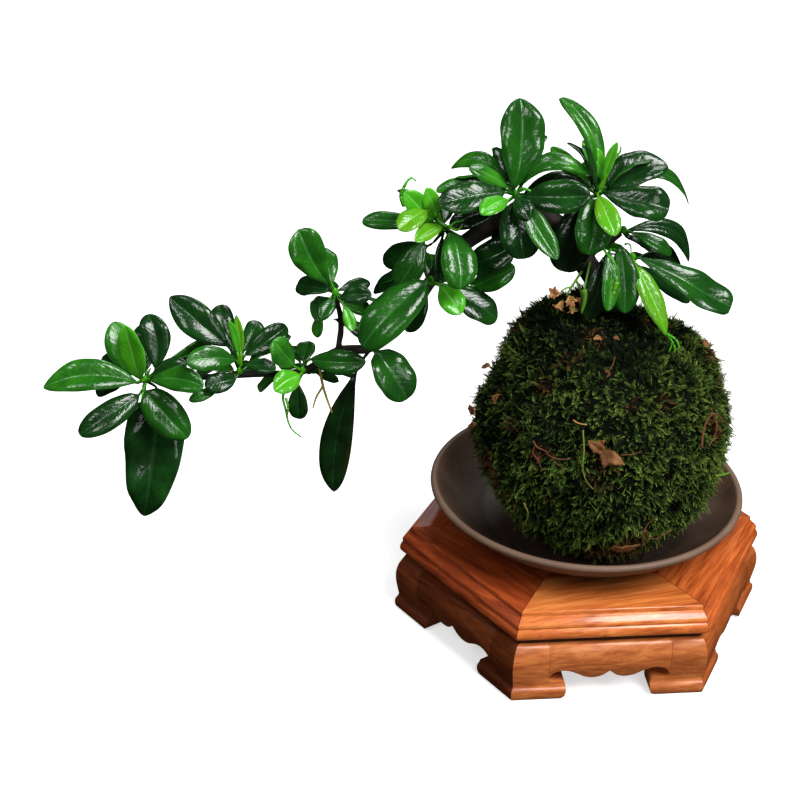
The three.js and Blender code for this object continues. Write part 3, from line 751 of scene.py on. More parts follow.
# %% Spin the saucer
SAUCER_R = 64.4
SAUCER_INSIDE = [(60.8, 58.2), (56.4, 53.3), (50, 48.9), (44, 46.4), (39, 45.3)]
SAUCER_OUTLINE = [
    (0, 41.7), (29.6, 41.7), (30.6, 40.7), (31.4, 40.3), (35.4, 40.3), (36.4, 40.7), (37.5, 41.5),
    (47, 44.8), (55.5, 50), (61, 55.2), (SAUCER_R - 0.4, 57.6), (SAUCER_R, 59),
    (SAUCER_R - 0.9, 60.1), (SAUCER_R - 2.4, 59.8), *SAUCER_INSIDE, (20, 45.1), (0, 45.1),
]
SPIN_STEPS = 96
outline = [Vector((r * MM, 0, z * MM)) for r, z in curve_through(SAUCER_OUTLINE, 3)]
saucer = draw_outline("turned_saucer", outline, closed=False)
bpy.ops.mesh.spin(steps=SPIN_STEPS, angle=2 * math.pi, center=(0, 0, 0), axis=(0, 0, 1))
close_shell(merge=0.005 * MM)
bpy.ops.object.mode_set(mode="OBJECT")
smooth_by_angle(saucer, 50)
hand_over(saucer, "saucer", "stoneware", clay)
print("saucer triangles", triangles(saucer))

# %% [markdown]
# ## Trunk and branches
# The trunk leaves the ball, bends over and hangs to one side, with short twigs on it.
# Each limb is a curve with a thickness at every point. The limbs are joined and
# remeshed into one skin, so forks flow into each other as on a real branch, and the
# bark's low ridges are pushed out of that skin.

# %% Limbs
LIMBS = {
    # points as across and down in the picture, how far out, and the diameter there
    "cascade": [
        (580, 255, 0, 8.8), (562, 228, 0, 8), (528, 216, -2, 7.6), (490, 227, -3, 7),
        (455, 252, -2, 6), (430, 282, 0, 5.2), (402, 322, 2, 4.6), (372, 347, 4, 4.1),
        (338, 351, 5, 3.6), (303, 371, 5, 3.2), (257, 374, 4, 2.8), (205, 377, 3, 2.4),
        (152, 380, 3, 2.0),
    ],
    "upper_twig": [(338, 351, 5, 2.6), (341, 322, 5, 2.4), (336, 298, 5, 2.0)],
    "shoulder_twig": [(466, 243, -2, 3.2), (447, 231, 0, 2.4)],
    "top_twig": [(530, 216, -2, 3.6), (517, 197, 0, 2.6)],
    "crown_twig": [(574, 240, 0, 4.4), (590, 216, -3, 3.4), (597, 200, -4, 2.6)],
    "right_twig": [(583, 258, 0, 3.8), (606, 243, -2, 3.0), (621, 233, -2, 2.4)],
    "low_twig": [(586, 272, 0, 3.8), (610, 265, 2, 3.0), (630, 259, 4, 2.4)],
}
IN_THE_BALL = [
    (TRUNK_FOOT + Vector((0, 0, -8 * MM)), 5.5 * MM),
    (TRUNK_FOOT + Vector((0, 0, 3 * MM)), 5.25 * MM),
]
TUBE_ROUNDNESS = 3
TUBE_STEPS = 8


def limb(name, stops):
    """A tube along a smooth curve through stops of a place and a radius, as a mesh."""
    select_only()
    bpy.ops.curve.primitive_bezier_curve_add()
    piece = bpy.context.active_object
    piece.name = name
    line = piece.data.splines[0].bezier_points
    line.add(len(stops) - len(line))
    for point, (place, radius) in zip(line, stops):
        point.co = place
        point.radius = radius
        point.handle_left_type = "AUTO"
        point.handle_right_type = "AUTO"
    piece.data.bevel_depth = 1.0
    piece.data.bevel_resolution = TUBE_ROUNDNESS
    piece.data.resolution_u = TUBE_STEPS
    piece.data.use_fill_caps = True
    bpy.ops.object.convert(target="MESH")
    bpy.ops.object.mode_set(mode="EDIT")
    close_shell(merge=MM / 1000)
    bpy.ops.object.mode_set(mode="OBJECT")
    return bpy.context.active_object


def join(name, pieces):
    bpy.ops.object.select_all(action="DESELECT")
    for piece in pieces:
        piece.select_set(True)
    bpy.context.view_layer.objects.active = pieces[0]
    if len(pieces) > 1:
        bpy.ops.object.join()
    joined = bpy.context.active_object
    joined.name = name
    joined.data.name = name
    return joined


# %% One skin, with bark
BARK_VOXEL = 0.42 * MM
BARK_RIDGE = 0.32 * MM
RIDGE_SCALE = 190
limbs = []
for name, points in LIMBS.items():
    stops = [(seen((x, y), out), thick / 2 * MM) for x, y, out, thick in points]
    if name == "cascade":
        stops = [*IN_THE_BALL, *stops]
    limbs.append(limb(name, stops))
trunk = join("bent_trunk", limbs)
apply_modifier(trunk, "REMESH", mode="VOXEL", voxel_size=BARK_VOXEL, adaptivity=0)
apply_modifier(trunk, "SMOOTH", factor=0.5, iterations=4)
outward = [vertex.normal.copy() for vertex in trunk.data.vertices]
for vertex, normal in zip(trunk.data.vertices, outward):
    along = vertex.co * RIDGE_SCALE
    ridges = noise.noise(along) + 0.5 * noise.noise(along * 2.7)
    thick = min(1.0, 0.35 + 0.65 * max(0.0, 1 - abs(vertex.co.x) / 0.1))
    vertex.co += normal * (BARK_RIDGE * ridges * thick)
shade_smooth(trunk)

# %% Bark
LICHEN = (0.17, 0.16, 0.11)
bark, tree, shader, place = new_material("bark", 0.78)
look = use_group(tree, patches, Place=place, Size=160.0)
# Near black at its darkest: dark bark, and painted shade of the crown on the trunk.
bark_colour = ramp(tree, look["Broad"], [
    (0.30, (0.005, 0.003, 0.002)), (0.52, (0.014, 0.009, 0.006)), (0.74, (0.055, 0.034, 0.022)),
])
lichen = remap(tree, look["Fine"], 0.62, 0.76, 0.0, 0.22)
tree.links.new(mix_colour(tree, lichen, bark_colour, LICHEN), shader.inputs["Base Color"])
bump(tree, shader, look["Fine"], 0.6, 0.25 * MM)
hand_over(trunk, "trunk", "bark", bark)
print("trunk triangles", triangles(trunk))

# %% [markdown]
# ## One leaf blade
# Every leaf has the same build: a midrib in a groove, two halves that swell and turn
# down at the margin, and a blunt tip. One flat blade is made from a grid, given a
# thickness with Solidify, and kept as numbers: how far across, how far along, and
# which face. Each leaf is then a copy of it, bent to its own base, tip and width.

# %% Master blade
BLADE_ACROSS = 8
BLADE_ALONG = 18
bpy.ops.mesh.primitive_grid_add(x_subdivisions=BLADE_ACROSS, y_subdivisions=BLADE_ALONG, size=2)
master = bpy.context.active_object
apply_modifier(master, "SOLIDIFY", thickness=1.0, offset=0)
count = len(master.data.vertices)
flat = np.zeros(count * 3)
master.data.vertices.foreach_get("co", flat)
flat = flat.reshape(-1, 3)
ACROSS = np.sign(flat[:, 0]) * np.abs(flat[:, 0]) ** 1.35
ALONG = 1 - (1 - (flat[:, 1] + 1) / 2) ** 1.6
FACE = np.sign(flat[:, 2])
BLADE_FACES = [tuple(face.vertices) for face in master.data.polygons]
blade_uv = [(ACROSS[i] / 2 + 0.5, ALONG[i]) for face in BLADE_FACES for i in face]
bpy.data.objects.remove(master)
print("blade faces", len(BLADE_FACES))

# %% Bend a copy of the blade
BLADE_THICKNESS = 0.5
STALK_HALF = 0.45
dice = random.Random(11)


def outline_half(t, taper, blunt):
    """Share of the blade's half width at t. `taper` slims the base, `blunt` the tip."""
    widest = taper / (taper + blunt)
    peak = widest**taper * (1 - widest) ** blunt
    return t**taper * np.clip(1 - t, 0, 1) ** blunt / peak


def bent_blade(
    base, tip, wide, arch, facing, roll=0, wavy=0.07, taper=0.80, blunt=0.55, sweep=0.0
):
    """Vertex places in metres for one leaf. Base and tip are points, the rest in mm."""
    axis = tip - base
    length = axis.length
    run = axis.normalized()
    up = (facing - run * facing.dot(run)).normalized()
    up.rotate(Matrix.Rotation(math.radians(roll + dice.uniform(-13, 13)), 3, run))
    side = run.cross(up)
    fold = dice.uniform(0.24, 0.50)
    turn_down = dice.uniform(0.15, 0.42)
    droop = dice.uniform(-0.03, 0.08)
    twist = dice.uniform(-0.35, 0.35)
    phase = dice.uniform(0, 6.3)
    lean = dice.uniform(-0.05, 0.05) + sweep
    taper += dice.uniform(-0.10, 0.10)
    blunt += dice.uniform(-0.07, 0.09)
    share = wide / 2 * outline_half(ALONG, taper, blunt)
    half = np.where(ALONG > 0.985, share + 0.12, np.maximum(STALK_HALF, share)) * MM
    reach = np.abs(ACROSS)
    lift = half * (fold * reach - turn_down * reach**4)
    lift += half * wavy * reach**2 * np.sin(2 * np.pi * 2.6 * ALONG + phase + 1.7 * (ACROSS > 0))
    lift += half * wavy * 0.7 * np.sin(2 * np.pi * 1.3 * ALONG + 2.3 * phase)
    lift += half * twist * ACROSS * (ALONG - 0.4)
    lift += arch * MM * 4 * ALONG * (1 - ALONG)
    lift -= droop * length * np.clip(ALONG - 0.55, 0, 1) ** 2 * 4
    thick = BLADE_THICKNESS * (1 - 0.55 * reach**3) * MM / 2
    lift += FACE * thick
    rib = np.where((FACE < 0) & (reach < 0.05), 0.45 * MM * (1 - 0.8 * ALONG), 0)
    lift -= rib
    slide = lean * length * 4 * ALONG * (1 - ALONG)
    return (
        np.array(base) + np.outer(ALONG, axis) + np.outer(ACROSS * half + slide, side)
        + np.outer(lift, up)
    )


# %% A round stalk between two points
STALK_SIDES = 6
STALK_RINGS = 5


def stalk(start, end, start_r, end_r, leave, arrive):
    """A tapered stalk that leaves `start` and arrives at `end` along two directions."""
    reach = (end - start).length / 2.6
    rings, faces = [], []
    for i in range(STALK_RINGS + 1):
        t = i / STALK_RINGS
        a, b, c, d = (1 - t) ** 3, 3 * t * (1 - t) ** 2, 3 * t * t * (1 - t), t**3
        middle = start * a + (start + leave * reach) * b + (end - arrive * reach) * c + end * d
        run = (leave * (1 - t) + arrive * t).normalized()
        one = run.orthogonal().normalized()
        two = run.cross(one)
        radius = (start_r * (1 - t) + end_r * t) * MM
        for j in range(STALK_SIDES):
            angle = 2 * math.pi * j / STALK_SIDES
            rings.append(middle + (one * math.cos(angle) + two * math.sin(angle)) * radius)
    for i in range(STALK_RINGS):
        for j in range(STALK_SIDES):
            p = i * STALK_SIDES + j
            q = i * STALK_SIDES + (j + 1) % STALK_SIDES
            faces.append((p, q, q + STALK_SIDES, p + STALK_SIDES))
    faces.append(tuple(reversed(range(STALK_SIDES))))
    last = STALK_RINGS * STALK_SIDES
    faces.append(tuple(range(last, last + STALK_SIDES)))
    return np.array([list(v) for v in rings]), faces


# %% [markdown]
# ## Leaf finish
# The leaves are leathery and wet, with a strong gloss that low ripples break up. A
# leaf's green comes from an attribute, `tone`: old and young leaves sit side by side,
# and leaves in shadow get darker greens as painted shade. The attribute `under` marks
# its paler underside. A group reads the blade's own map and gives the midrib, the side
# veins and the margin, so they follow every bent copy.

# %% Veins group
veins, veins_in, veins_out = new_group(
    "leaf_veins",
    [("Blade", "NodeSocketVector", None)],
    [("Midrib", "NodeSocketFloat"), ("Side", "NodeSocketFloat"), ("Margin", "NodeSocketFloat")],
)
SIDE_VEINS = 9.0
VEIN_SLANT = 0.30
parts = axes(veins, veins_in.outputs["Blade"])
across = math_node(veins, "MULTIPLY_ADD", parts["X"], 2.0, -1.0)
off_rib = math_node(veins, "ABSOLUTE", across)
veins.links.new(remap(veins, off_rib, 0.035, 0.10, 1.0, 0.0), veins_out.inputs["Midrib"])
veins.links.new(remap(veins, off_rib, 0.90, 0.985, 0.0, 1.0), veins_out.inputs["Margin"])
slanted = math_node(veins, "MULTIPLY_ADD", off_rib, -VEIN_SLANT, parts["Y"])
repeated = math_node(veins, "FRACT", math_node(veins, "MULTIPLY", slanted, SIDE_VEINS))
from_vein = math_node(veins, "ABSOLUTE", math_node(veins, "SUBTRACT", repeated, 0.5))
veins.links.new(remap(veins, from_vein, 0.0, 0.30, 1.0, 0.0), veins_out.inputs["Side"])

# %% Leaf material
leaf, tree, shader, place = new_material("leaf", 0.25)
shader.inputs["Specular IOR Level"].default_value = 0.62
blade_map = tree.nodes.new("ShaderNodeUVMap")
blade_map.uv_map = "blade"
vein = use_group(tree, veins, Blade=blade_map.outputs["UV"])
look = use_group(tree, patches, Place=place, Size=110.0)
uneven = remap(tree, look["Broad"], 0.3, 0.7, -0.08, 0.08)
shifted = math_node(tree, "ADD", attribute(tree, "tone"), uneven)
# The darker greens are partly the old leaves' own colour and partly painted shade, for leaves in
# shadow.
LEAF_GREENS = [
    (0.02, (0.0050, 0.0120, 0.0040)), (0.20, (0.0070, 0.0420, 0.0070)),
    (0.45, (0.0160, 0.1250, 0.0070)), (0.70, (0.0680, 0.4200, 0.0110)),
    (0.95, (0.1050, 0.3400, 0.0060)),
]
green = ramp(tree, shifted, LEAF_GREENS)
paler = tree.nodes.new("ShaderNodeHueSaturation")
paler.inputs["Value"].default_value = 1.9
paler.inputs["Saturation"].default_value = 0.88
tree.links.new(green, paler.inputs["Color"])
coloured = green
for mask, amount in (
    (vein["Midrib"], 0.6), (vein["Side"], 0.10), (vein["Margin"], 0.55),
    (attribute(tree, "under"), 0.75),
):
    coloured = mix_colour(
        tree, math_node(tree, "MULTIPLY", mask, amount), coloured, paler.outputs["Color"]
    )
tree.links.new(coloured, shader.inputs["Base Color"])
wetness = remap(tree, look["Fine"], 0.36, 0.62, 0.08, 0.24)
tree.links.new(wetness, shader.inputs["Roughness"])
fine_ripple = math_node(tree, "MULTIPLY", look["Fine"], 0.55)
ripple = math_node(tree, "MULTIPLY_ADD", look["Broad"], 2.6, fine_ripple)
quilt = math_node(tree, "MULTIPLY_ADD", vein["Side"], -0.18, ripple)
height = math_node(tree, "MULTIPLY_ADD", vein["Midrib"], -0.6, quilt)
bump(tree, shader, height, 0.7, 0.25 * MM)

# %% [markdown]
# ## Leafy shoots
# The leaves grow in rosettes, eleven of them, each round a bud at the end of a twig.
# Every leaf that shows has a row: where its stalk ends and its tip is in the picture,
# its width, how far both ends stand out, its arch and its green, and at times a roll or
# a shape of its own. Leaves on the far side have a turn, a rise and a length.

# %% Greens of the leaves, dark to bright: old and young, and painted shade
DEEP = 0.07
DARK = 0.20
DUSK = 0.32
MID = 0.46
FRESH = 0.70
LIME = 0.90

# %% Leaf shapes that differ from the rest
POINTED = {"taper": 0.75, "blunt": 0.85}
LANCE = {"taper": 1.05, "blunt": 0.62, "wavy": 0.10, "sweep": 0.085}
OBLONG = {"taper": 0.55, "blunt": 0.45}
SQUARE = {"taper": 0.95, "blunt": 0.36, "wavy": 0.12}

# %% Leaf table
SHOOTS = {
    "spray_1": {
        "hub": (146, 380), "out": 3, "thick": 2.0,
        "behind": [(-65, 15, 27), (-30, -25, 30), (5, 42, 24), (35, -5, 29), (68, -30, 26)],
        "leaves": [
            ((137, 382), (43, 387), 13.5, 4, 6, 3, MID, {"blunt": 0.68, "sweep": 0.075}),
            ((139, 395), (79, 434), 11.5, 6, 14, 2, DARK,
             {"taper": 0.55, "blunt": 0.45, "sweep": -0.07}),
            ((140, 379), (126, 325), 10.5, 8, 14, 1, FRESH),
            ((138, 377), (113, 322), 13, 0, -4, 2, MID, {"sweep": -0.09}),
            ((138, 375), (101, 356), 8, -1, -12, 1, DARK),
            ((156, 369), (148, 314), 12, 0, -6, 1, DARK, {"sweep": 0.09}),
            ((150, 380), (204, 387), 10.5, 7, 14, 2, MID),
            ((152, 376), (187, 364), 9, 3, 5, 1, DARK),
            ((145, 391), (188, 438), 15, 5, 8, 2, DUSK, OBLONG),
            ((158, 394), (144, 516), 24, -5, 4, 6, DARK,
             {"taper": 0.34, "blunt": 0.60, "wavy": 0.22, "sweep": -0.03}),
            ((155, 372), (214, 337), 7, -2, -12, 4, MID, {"roll": 40}),
        ],
    },
    "spray_2": {
        "hub": (240, 372), "out": 4, "thick": 2.7,
        "behind": [(-50, 20, 26), (-15, -25, 29), (25, 40, 25), (50, -22, 25)],
        "leaves": [
            ((228, 346), (170, 297), 14, 0, -6, 2, DARK, {"blunt": 0.75, "sweep": 0.03}),
            ((229, 344), (220, 304), 10, -2, -8, 1, DARK, OBLONG),
            ((236, 360), (186, 362), 10, 6, 12, 2, MID),
            ((238, 354), (229, 321), 3.4, 4, 6, 0, FRESH),
            ((241, 354), (236, 315), 3.4, 4, 2, 0, LIME),
            ((236, 378), (205, 386), 8.5, 6, 10, 1, DARK),
            ((243, 352), (258, 320), 8, 0, -8, 1, DARK),
            ((245, 355), (287, 326), 10, 0, -5, 2, DARK),
            ((246, 364), (276, 369), 6.5, 8, 12, 1, DARK),
            ((219, 388), (189, 400), 5, 7, 10, 1, MID),
        ],
    },
    "spray_3": {
        "hub": (303, 371), "out": 5, "thick": 3.2,
        "behind": [(-55, -20, 25), (-35, -35, 24), (20, -25, 28), (65, -35, 24)],
        "leaves": [
            ((294, 366), (272, 341), 11, 8, 10, 1, MID),
            ((300, 375), (274, 391), 9.5, 9, 14, 1, FRESH),
            ((298, 384), (300, 420), 8, 6, 5, 1, DARK),
            ((300, 362), (293, 345), 5, 2, -4, 0, DARK),
            ((304, 362), (309, 341), 8, 2, -4, 0, DUSK),
            ((311, 359), (366, 362), 10, 9, 12, 2, DUSK),
        ],
    },
    "spray_4": {
        "hub": (372, 347), "out": 4, "thick": 4.1,
        "behind": [(-40, -60, 25), (35, 0, 27)],
        "leaves": [
            ((356, 372), (334, 491), 13, 4, 2, 3, DEEP, LANCE),
            ((376, 351), (408, 399), 16, 8, 12, 2, DUSK, OBLONG),
        ],
    },
    "spray_5": {
        "hub": (335, 293), "out": 5, "thick": 2.0,
        "behind": [(-70, -25, 22), (25, 30, 22), (20, -15, 27), (40, -55, 20)],
        "leaves": [
            ((331, 286), (299, 231), 14, 7, 10, 2, MID,
             {"taper": 1.2, "blunt": 0.36, "wavy": 0.12, "sweep": -0.05}),
            ((330, 291), (297, 284), 9.5, 2, -6, 1, DARK),
            ((334, 300), (320, 320), 6.5, 9, 13, 1, DUSK),
            ((339, 290), (370, 281), 6, 2, -4, 1, DARK),
            ((340, 298), (372, 295), 8, 8, 10, 1, DARK),
            ((342, 303), (374, 314), 7, 4, 0, 1, MID),
            ((344, 306), (353, 331), 5, 10, 12, 0, FRESH),
            ((321, 314), (317, 338), 4.6, 8, 8, 1, MID),
        ],
    },
    "spray_6": {
        "hub": (430, 282), "out": 0, "thick": 5.2,
        "behind": [(-50, -20, 27), (0, -5, 30), (50, -25, 27)],
        "leaves": [
            ((428, 281), (362, 346), 17, 8, 16, 3, DUSK, OBLONG),
            ((427, 296), (406, 332), 9, 3, 2, 1, DARK),
            ((420, 268), (374, 292), 8, -4, -10, 1, DARK),
            ((440, 286), (460, 314), 10, 8, 14, 1, FRESH),
            ((446, 288), (497, 320), 13, 3, 4, 2, DARK),
            ((466, 270), (513, 246), 13, -2, 1, 1, DARK, OBLONG),
            ((474, 286), (515, 267), 10, 0, 3, 1, MID, OBLONG),
        ],
    },
    "spray_7": {
        "hub": (445, 229), "out": 0, "thick": 2.4,
        "behind": [(-60, 10, 25), (10, 5, 24), (60, 30, 24)],
        "leaves": [
            ((420, 224), (362, 221), 7.5, -1, -2, 1, DUSK),
            ((428, 246), (381, 262), 10, -5, -14, 1, DARK),
            ((450, 231), (461, 288), 14, 6, 16, 2, MID),
            ((424, 241), (398, 286), 11, 1, 4, 1, DUSK),
            ((442, 238), (440, 279), 6.5, 3, 8, 1, DARK),
            ((438, 214), (427, 189), 7, 3, 6, 1, FRESH),
            ((433, 222), (405, 192), 9, 4, 8, 1, FRESH),
            ((427, 210), (399, 229), 9, 8, 14, 1, LIME),
            ((441, 226), (415, 242), 6.5, 8, 16, 1, LIME),
        ],
    },
    "spray_8": {
        "hub": (516, 195), "out": 0, "thick": 2.6,
        "behind": [(-62, -18, 25), (-35, 45, 26), (10, 15, 31), (70, 5, 25)],
        "leaves": [
            ((513, 190), (520, 98), 17.5, 2, -7, 3, DUSK,
             {"wavy": 0.14, "sweep": 0.05, "taper": 0.95, "blunt": 0.66}),
            ((508, 187), (470, 167), 7, 1, 4, 1, MID),
            ((507, 183), (451, 167), 7.5, -4, -8, 6, MID, {"roll": 12, "sweep": 0.13}),
            ((505, 192), (438, 204), 12.5, 5, 10, 2, DARK),
            ((498, 187), (436, 190), 7, -2, -4, 1, MID),
            ((508, 200), (482, 213), 8, 6, 14, 1, FRESH),
            ((520, 188), (591, 173), 8, 0, 3, 8, MID, {"sweep": -0.10}),
            ((524, 196), (591, 196), 13, 5, 9, 2, DARK, {"sweep": 0.07}),
            ((516, 200), (524, 259), 15.5, 5, 10, 2, DARK, OBLONG),
            ((523, 201), (557, 260), 9, 8, 15, 1, MID),
            ((502, 208), (505, 262), 11, -6, -8, 1, DEEP),
            ((516, 197), (529, 219), 8, 8, 11, 1, DARK),
            ((500, 206), (449, 225), 9, 2, 3, 1, DEEP),
            ((524, 194), (588, 184), 6.5, -4, -3, 5, DEEP, {"sweep": -0.10}),
        ],
    },
    "spray_9": {
        "hub": (598, 195), "out": -4, "thick": 2.6,
        "behind": [(-70, 30, 25), (-35, -5, 29), (0, 5, 27), (35, 5, 30), (55, 50, 23)],
        "leaves": [
            ((592, 199), (588, 255), 14.5, 4, 9, 2, DUSK, OBLONG),
            ((598, 196), (615, 236), 9, 5, 12, 1, LIME),
            ((603, 193), (669, 208), 13.5, 0, 5, 2, DARK, SQUARE),
            ((606, 188), (668, 165), 15, -5, -8, 2, DARK,
             {"taper": 0.50, "blunt": 0.5, "sweep": -0.05}),
            ((612, 184), (691, 202), 6, -9, -14, 6, DUSK, {"sweep": -0.13}),
            ((598, 184), (562, 97), 8, -8, -14, 6, MID, {"sweep": 0.07}),
            ((596, 186), (584, 146), 6.5, 0, 2, 1, DARK, {"roll": 50}),
            ((590, 188), (551, 147), 6, -9, -15, 1, FRESH),
            ((603, 184), (617, 143), 4, -3, -3, 0, FRESH),
            ((582, 206), (564, 271), 16, 6, 4, 1, DEEP, OBLONG),
            ((606, 184), (585, 140), 7, -7, -7, 1, FRESH),
            ((574, 203), (556, 258), 8, 1, 0, 1, DEEP),
        ],
    },
    "spray_10": {
        "hub": (623, 231), "out": -2, "thick": 2.4,
        "behind": [(25, -5, 24), (60, -20, 24)],
        "leaves": [
            ((626, 231), (691, 260), 8, -4, -8, 5, DARK, {"sweep": -0.16}),
            ((630, 236), (652, 247), 6, -3, -5, 1, DARK),
            ((634, 233), (672, 254), 6, -1, 0, 2, DUSK),
            ((628, 238), (682, 272), 8, -7, -9, 3, DEEP),
        ],
    },
    "spray_11": {
        "hub": (632, 258), "out": 4, "thick": 2.4,
        "behind": [(-30, -25, 26), (35, -10, 25)],
        "leaves": [
            ((640, 258), (730, 308), 14, 6, 8, 3, DUSK, SQUARE),
            ((638, 266), (690, 302), 6.5, 2, -2, 1, DARK),
            ((636, 266), (668, 336), 9, 9, 16, 1, LIME, POINTED),
            ((620, 246), (625, 313), 11.5, 7, 12, 1, DUSK),
            ((604, 257), (586, 319), 10, 8, 12, 1, DEEP),
            ((609, 251), (608, 311), 7, 10, 16, 1, MID),
        ],
    },
}

# %% Young stems and curled tips
TENDRILS = {
    # green, thickness in mm, and points as across and down in the picture and how far out
    "spray_1": [
        (FRESH, 1.3, [(147, 378, 4), (149, 371, 6), (151, 368, 7)]),
        (FRESH, 1.2, [(146, 382, 4), (143, 392, 6), (141, 404, 7)]),
    ],
    "spray_3": [
        (FRESH, 1.4, [(300, 378, 6), (284, 392, 8), (286, 411, 9), (291, 428, 9), (301, 437, 9)]),
        (LIME, 1.2, [(286, 398, 8), (288, 408, 10), (287, 417, 10)]),
    ],
    "spray_7": [
        (FRESH, 1.8, [(404, 206, 4), (401, 196, 4), (404, 187, 4), (411, 178, 3), (416, 181, 3)]),
        (FRESH, 1.4, [(434, 212, 5), (440, 222, 7), (449, 226, 9), (456, 222, 9), (463, 221, 8)]),
        (LIME, 1.6, [(449, 226, 9), (457, 230, 9), (462, 226, 9)]),
    ],
    "spray_8": [(FRESH, 1.8, [(520, 190, 2), (526, 189, 5), (532, 192, 6)])],
    "spray_9": [
        (LIME, 1.4, [(598, 190, -2), (608, 172, -3), (614, 158, -4), (617, 146, -4)]),
        (FRESH, 1.2, [(614, 158, -4), (620, 152, -4), (621, 146, -4)]),
    ],
    "spray_11": [
        (FRESH, 1.2, [
            (600, 243, 8), (607, 254, 13), (615, 265, 17), (617, 276, 17), (613, 300, 18),
        ]),
        (LIME, 2.2, [(617, 282, 17), (614, 291, 18), (611, 302, 18)]),
        (FRESH, 1.0, [(625, 244, 7), (630, 245, 9), (631, 257, 10)]),
        (FRESH, 1.3, [(667, 334, 20), (672, 342, 21), (669, 352, 22)]),
        (FRESH, 1.2, [(667, 334, 20), (676, 340, 22), (680, 349, 23)]),
        (FRESH, 1.0, [(667, 334, 20), (674, 345, 22), (675, 353, 23)]),
    ],
}

# %% A bud, and a pile of parts
BUD_TAPER = 0.45
BUD_TALL = 1.5
STALK_UV = (0.25, 0.5)  # stalks and buds look like this place on the blade


def bud_mesh():
    """Places and faces of a small pointed bud one unit high."""
    bpy.ops.mesh.primitive_ico_sphere_add(subdivisions=2, radius=1)
    ball = bpy.context.active_object
    places = np.array([list(v.co) for v in ball.data.vertices])
    faces = [tuple(face.vertices) for face in ball.data.polygons]
    bpy.data.objects.remove(ball)
    pointed = 1 - BUD_TAPER * np.clip(places[:, 2], 0, 1)
    places[:, :2] *= pointed[:, None]
    places[:, 2] *= BUD_TALL
    return places, faces


def mesh_piece(name, places, faces, **values):
    """A piece from lists of places, with its faces and numbers kept for each vertex."""
    mesh = bpy.data.meshes.new(name)
    mesh.from_pydata(np.concatenate(places).tolist(), [], faces)
    for label, numbers in values.items():
        layer = mesh.attributes.new(label, "FLOAT", "POINT")
        layer.data.foreach_set("value", np.concatenate(numbers).astype(np.float32))
    piece = bpy.data.objects.new(name, mesh)
    bpy.context.scene.collection.objects.link(piece)
    return piece


class MeshPile:
    """Collects parts of one piece: places, faces, and numbers for each vertex."""

    def __init__(self):
        self.places, self.faces, self.tone, self.under, self.uv = [], [], [], [], []
        self.count = 0

    def add(self, places, faces, tone, under=0.0, uv=None):
        self.places.append(places)
        self.faces += [tuple(i + self.count for i in face) for face in faces]
        self.tone.append(np.broadcast_to(tone, len(places)))
        self.under.append(np.broadcast_to(under, len(places)))
        self.uv += uv or [STALK_UV for face in faces for _ in face]
        self.count += len(places)

    def build(self, name):
        piece = mesh_piece(name, self.places, self.faces, tone=self.tone, under=self.under)
        layer = piece.data.uv_layers.new(name="blade")
        layer.data.foreach_set("uv", np.array(self.uv, np.float32).ravel())
        shade_smooth(piece)
        return piece


BUD_PLACES, BUD_FACES = bud_mesh()
print("bud faces", len(BUD_FACES))

# %% Grow a shoot
DEPTH_SPREAD = 1.4
LEAF_LEAN = 0.35
AWAY_WIDTH = 11
AWAY_STALK = 4 * MM
AWAY_ARCH = 2
TONE_SPREAD = 0.03
STALK_PALER = 0.12
STALK_RADII = (0.75, 0.5)
TENDRIL_TAPER = 0.6
BUD_WIDTH = 1.5
BUD_LIFT = 1.2 * MM
BUD_TONE = 0.78
leaf_facing = (view_back + UP * LEAF_LEAN).normalized()
away_facing = (UP - view_out * 0.4).normalized()


def add_leaf(pile, hub, base, tip, tone, **shape):
    tone += dice.uniform(-TONE_SPREAD, TONE_SPREAD)
    places = bent_blade(base, tip, **shape)
    pile.add(places, BLADE_FACES, tone, (FACE < 0).astype(float), blade_uv)
    toward = (tip - base).normalized()
    leave = (base - hub).normalized()
    places, faces = stalk(hub, base + toward * MM, *STALK_RADII, leave, toward)
    pile.add(places, faces, min(1.0, tone + STALK_PALER))


def add_tendril(pile, path, thick, tone):
    """A thin curled stem through the points, in short tapering lengths."""
    for i in range(len(path) - 1):
        here, there = path[i], path[i + 1]
        before, after = path[max(i - 1, 0)], path[min(i + 2, len(path) - 1)]
        start_r = thick / 2 * (1 - TENDRIL_TAPER * i / (len(path) - 1))
        end_r = thick / 2 * (1 - TENDRIL_TAPER * (i + 1) / (len(path) - 1))
        leave, arrive = (there - before).normalized(), (after - here).normalized()
        pile.add(*stalk(here, there, start_r, end_r, leave, arrive), tone)


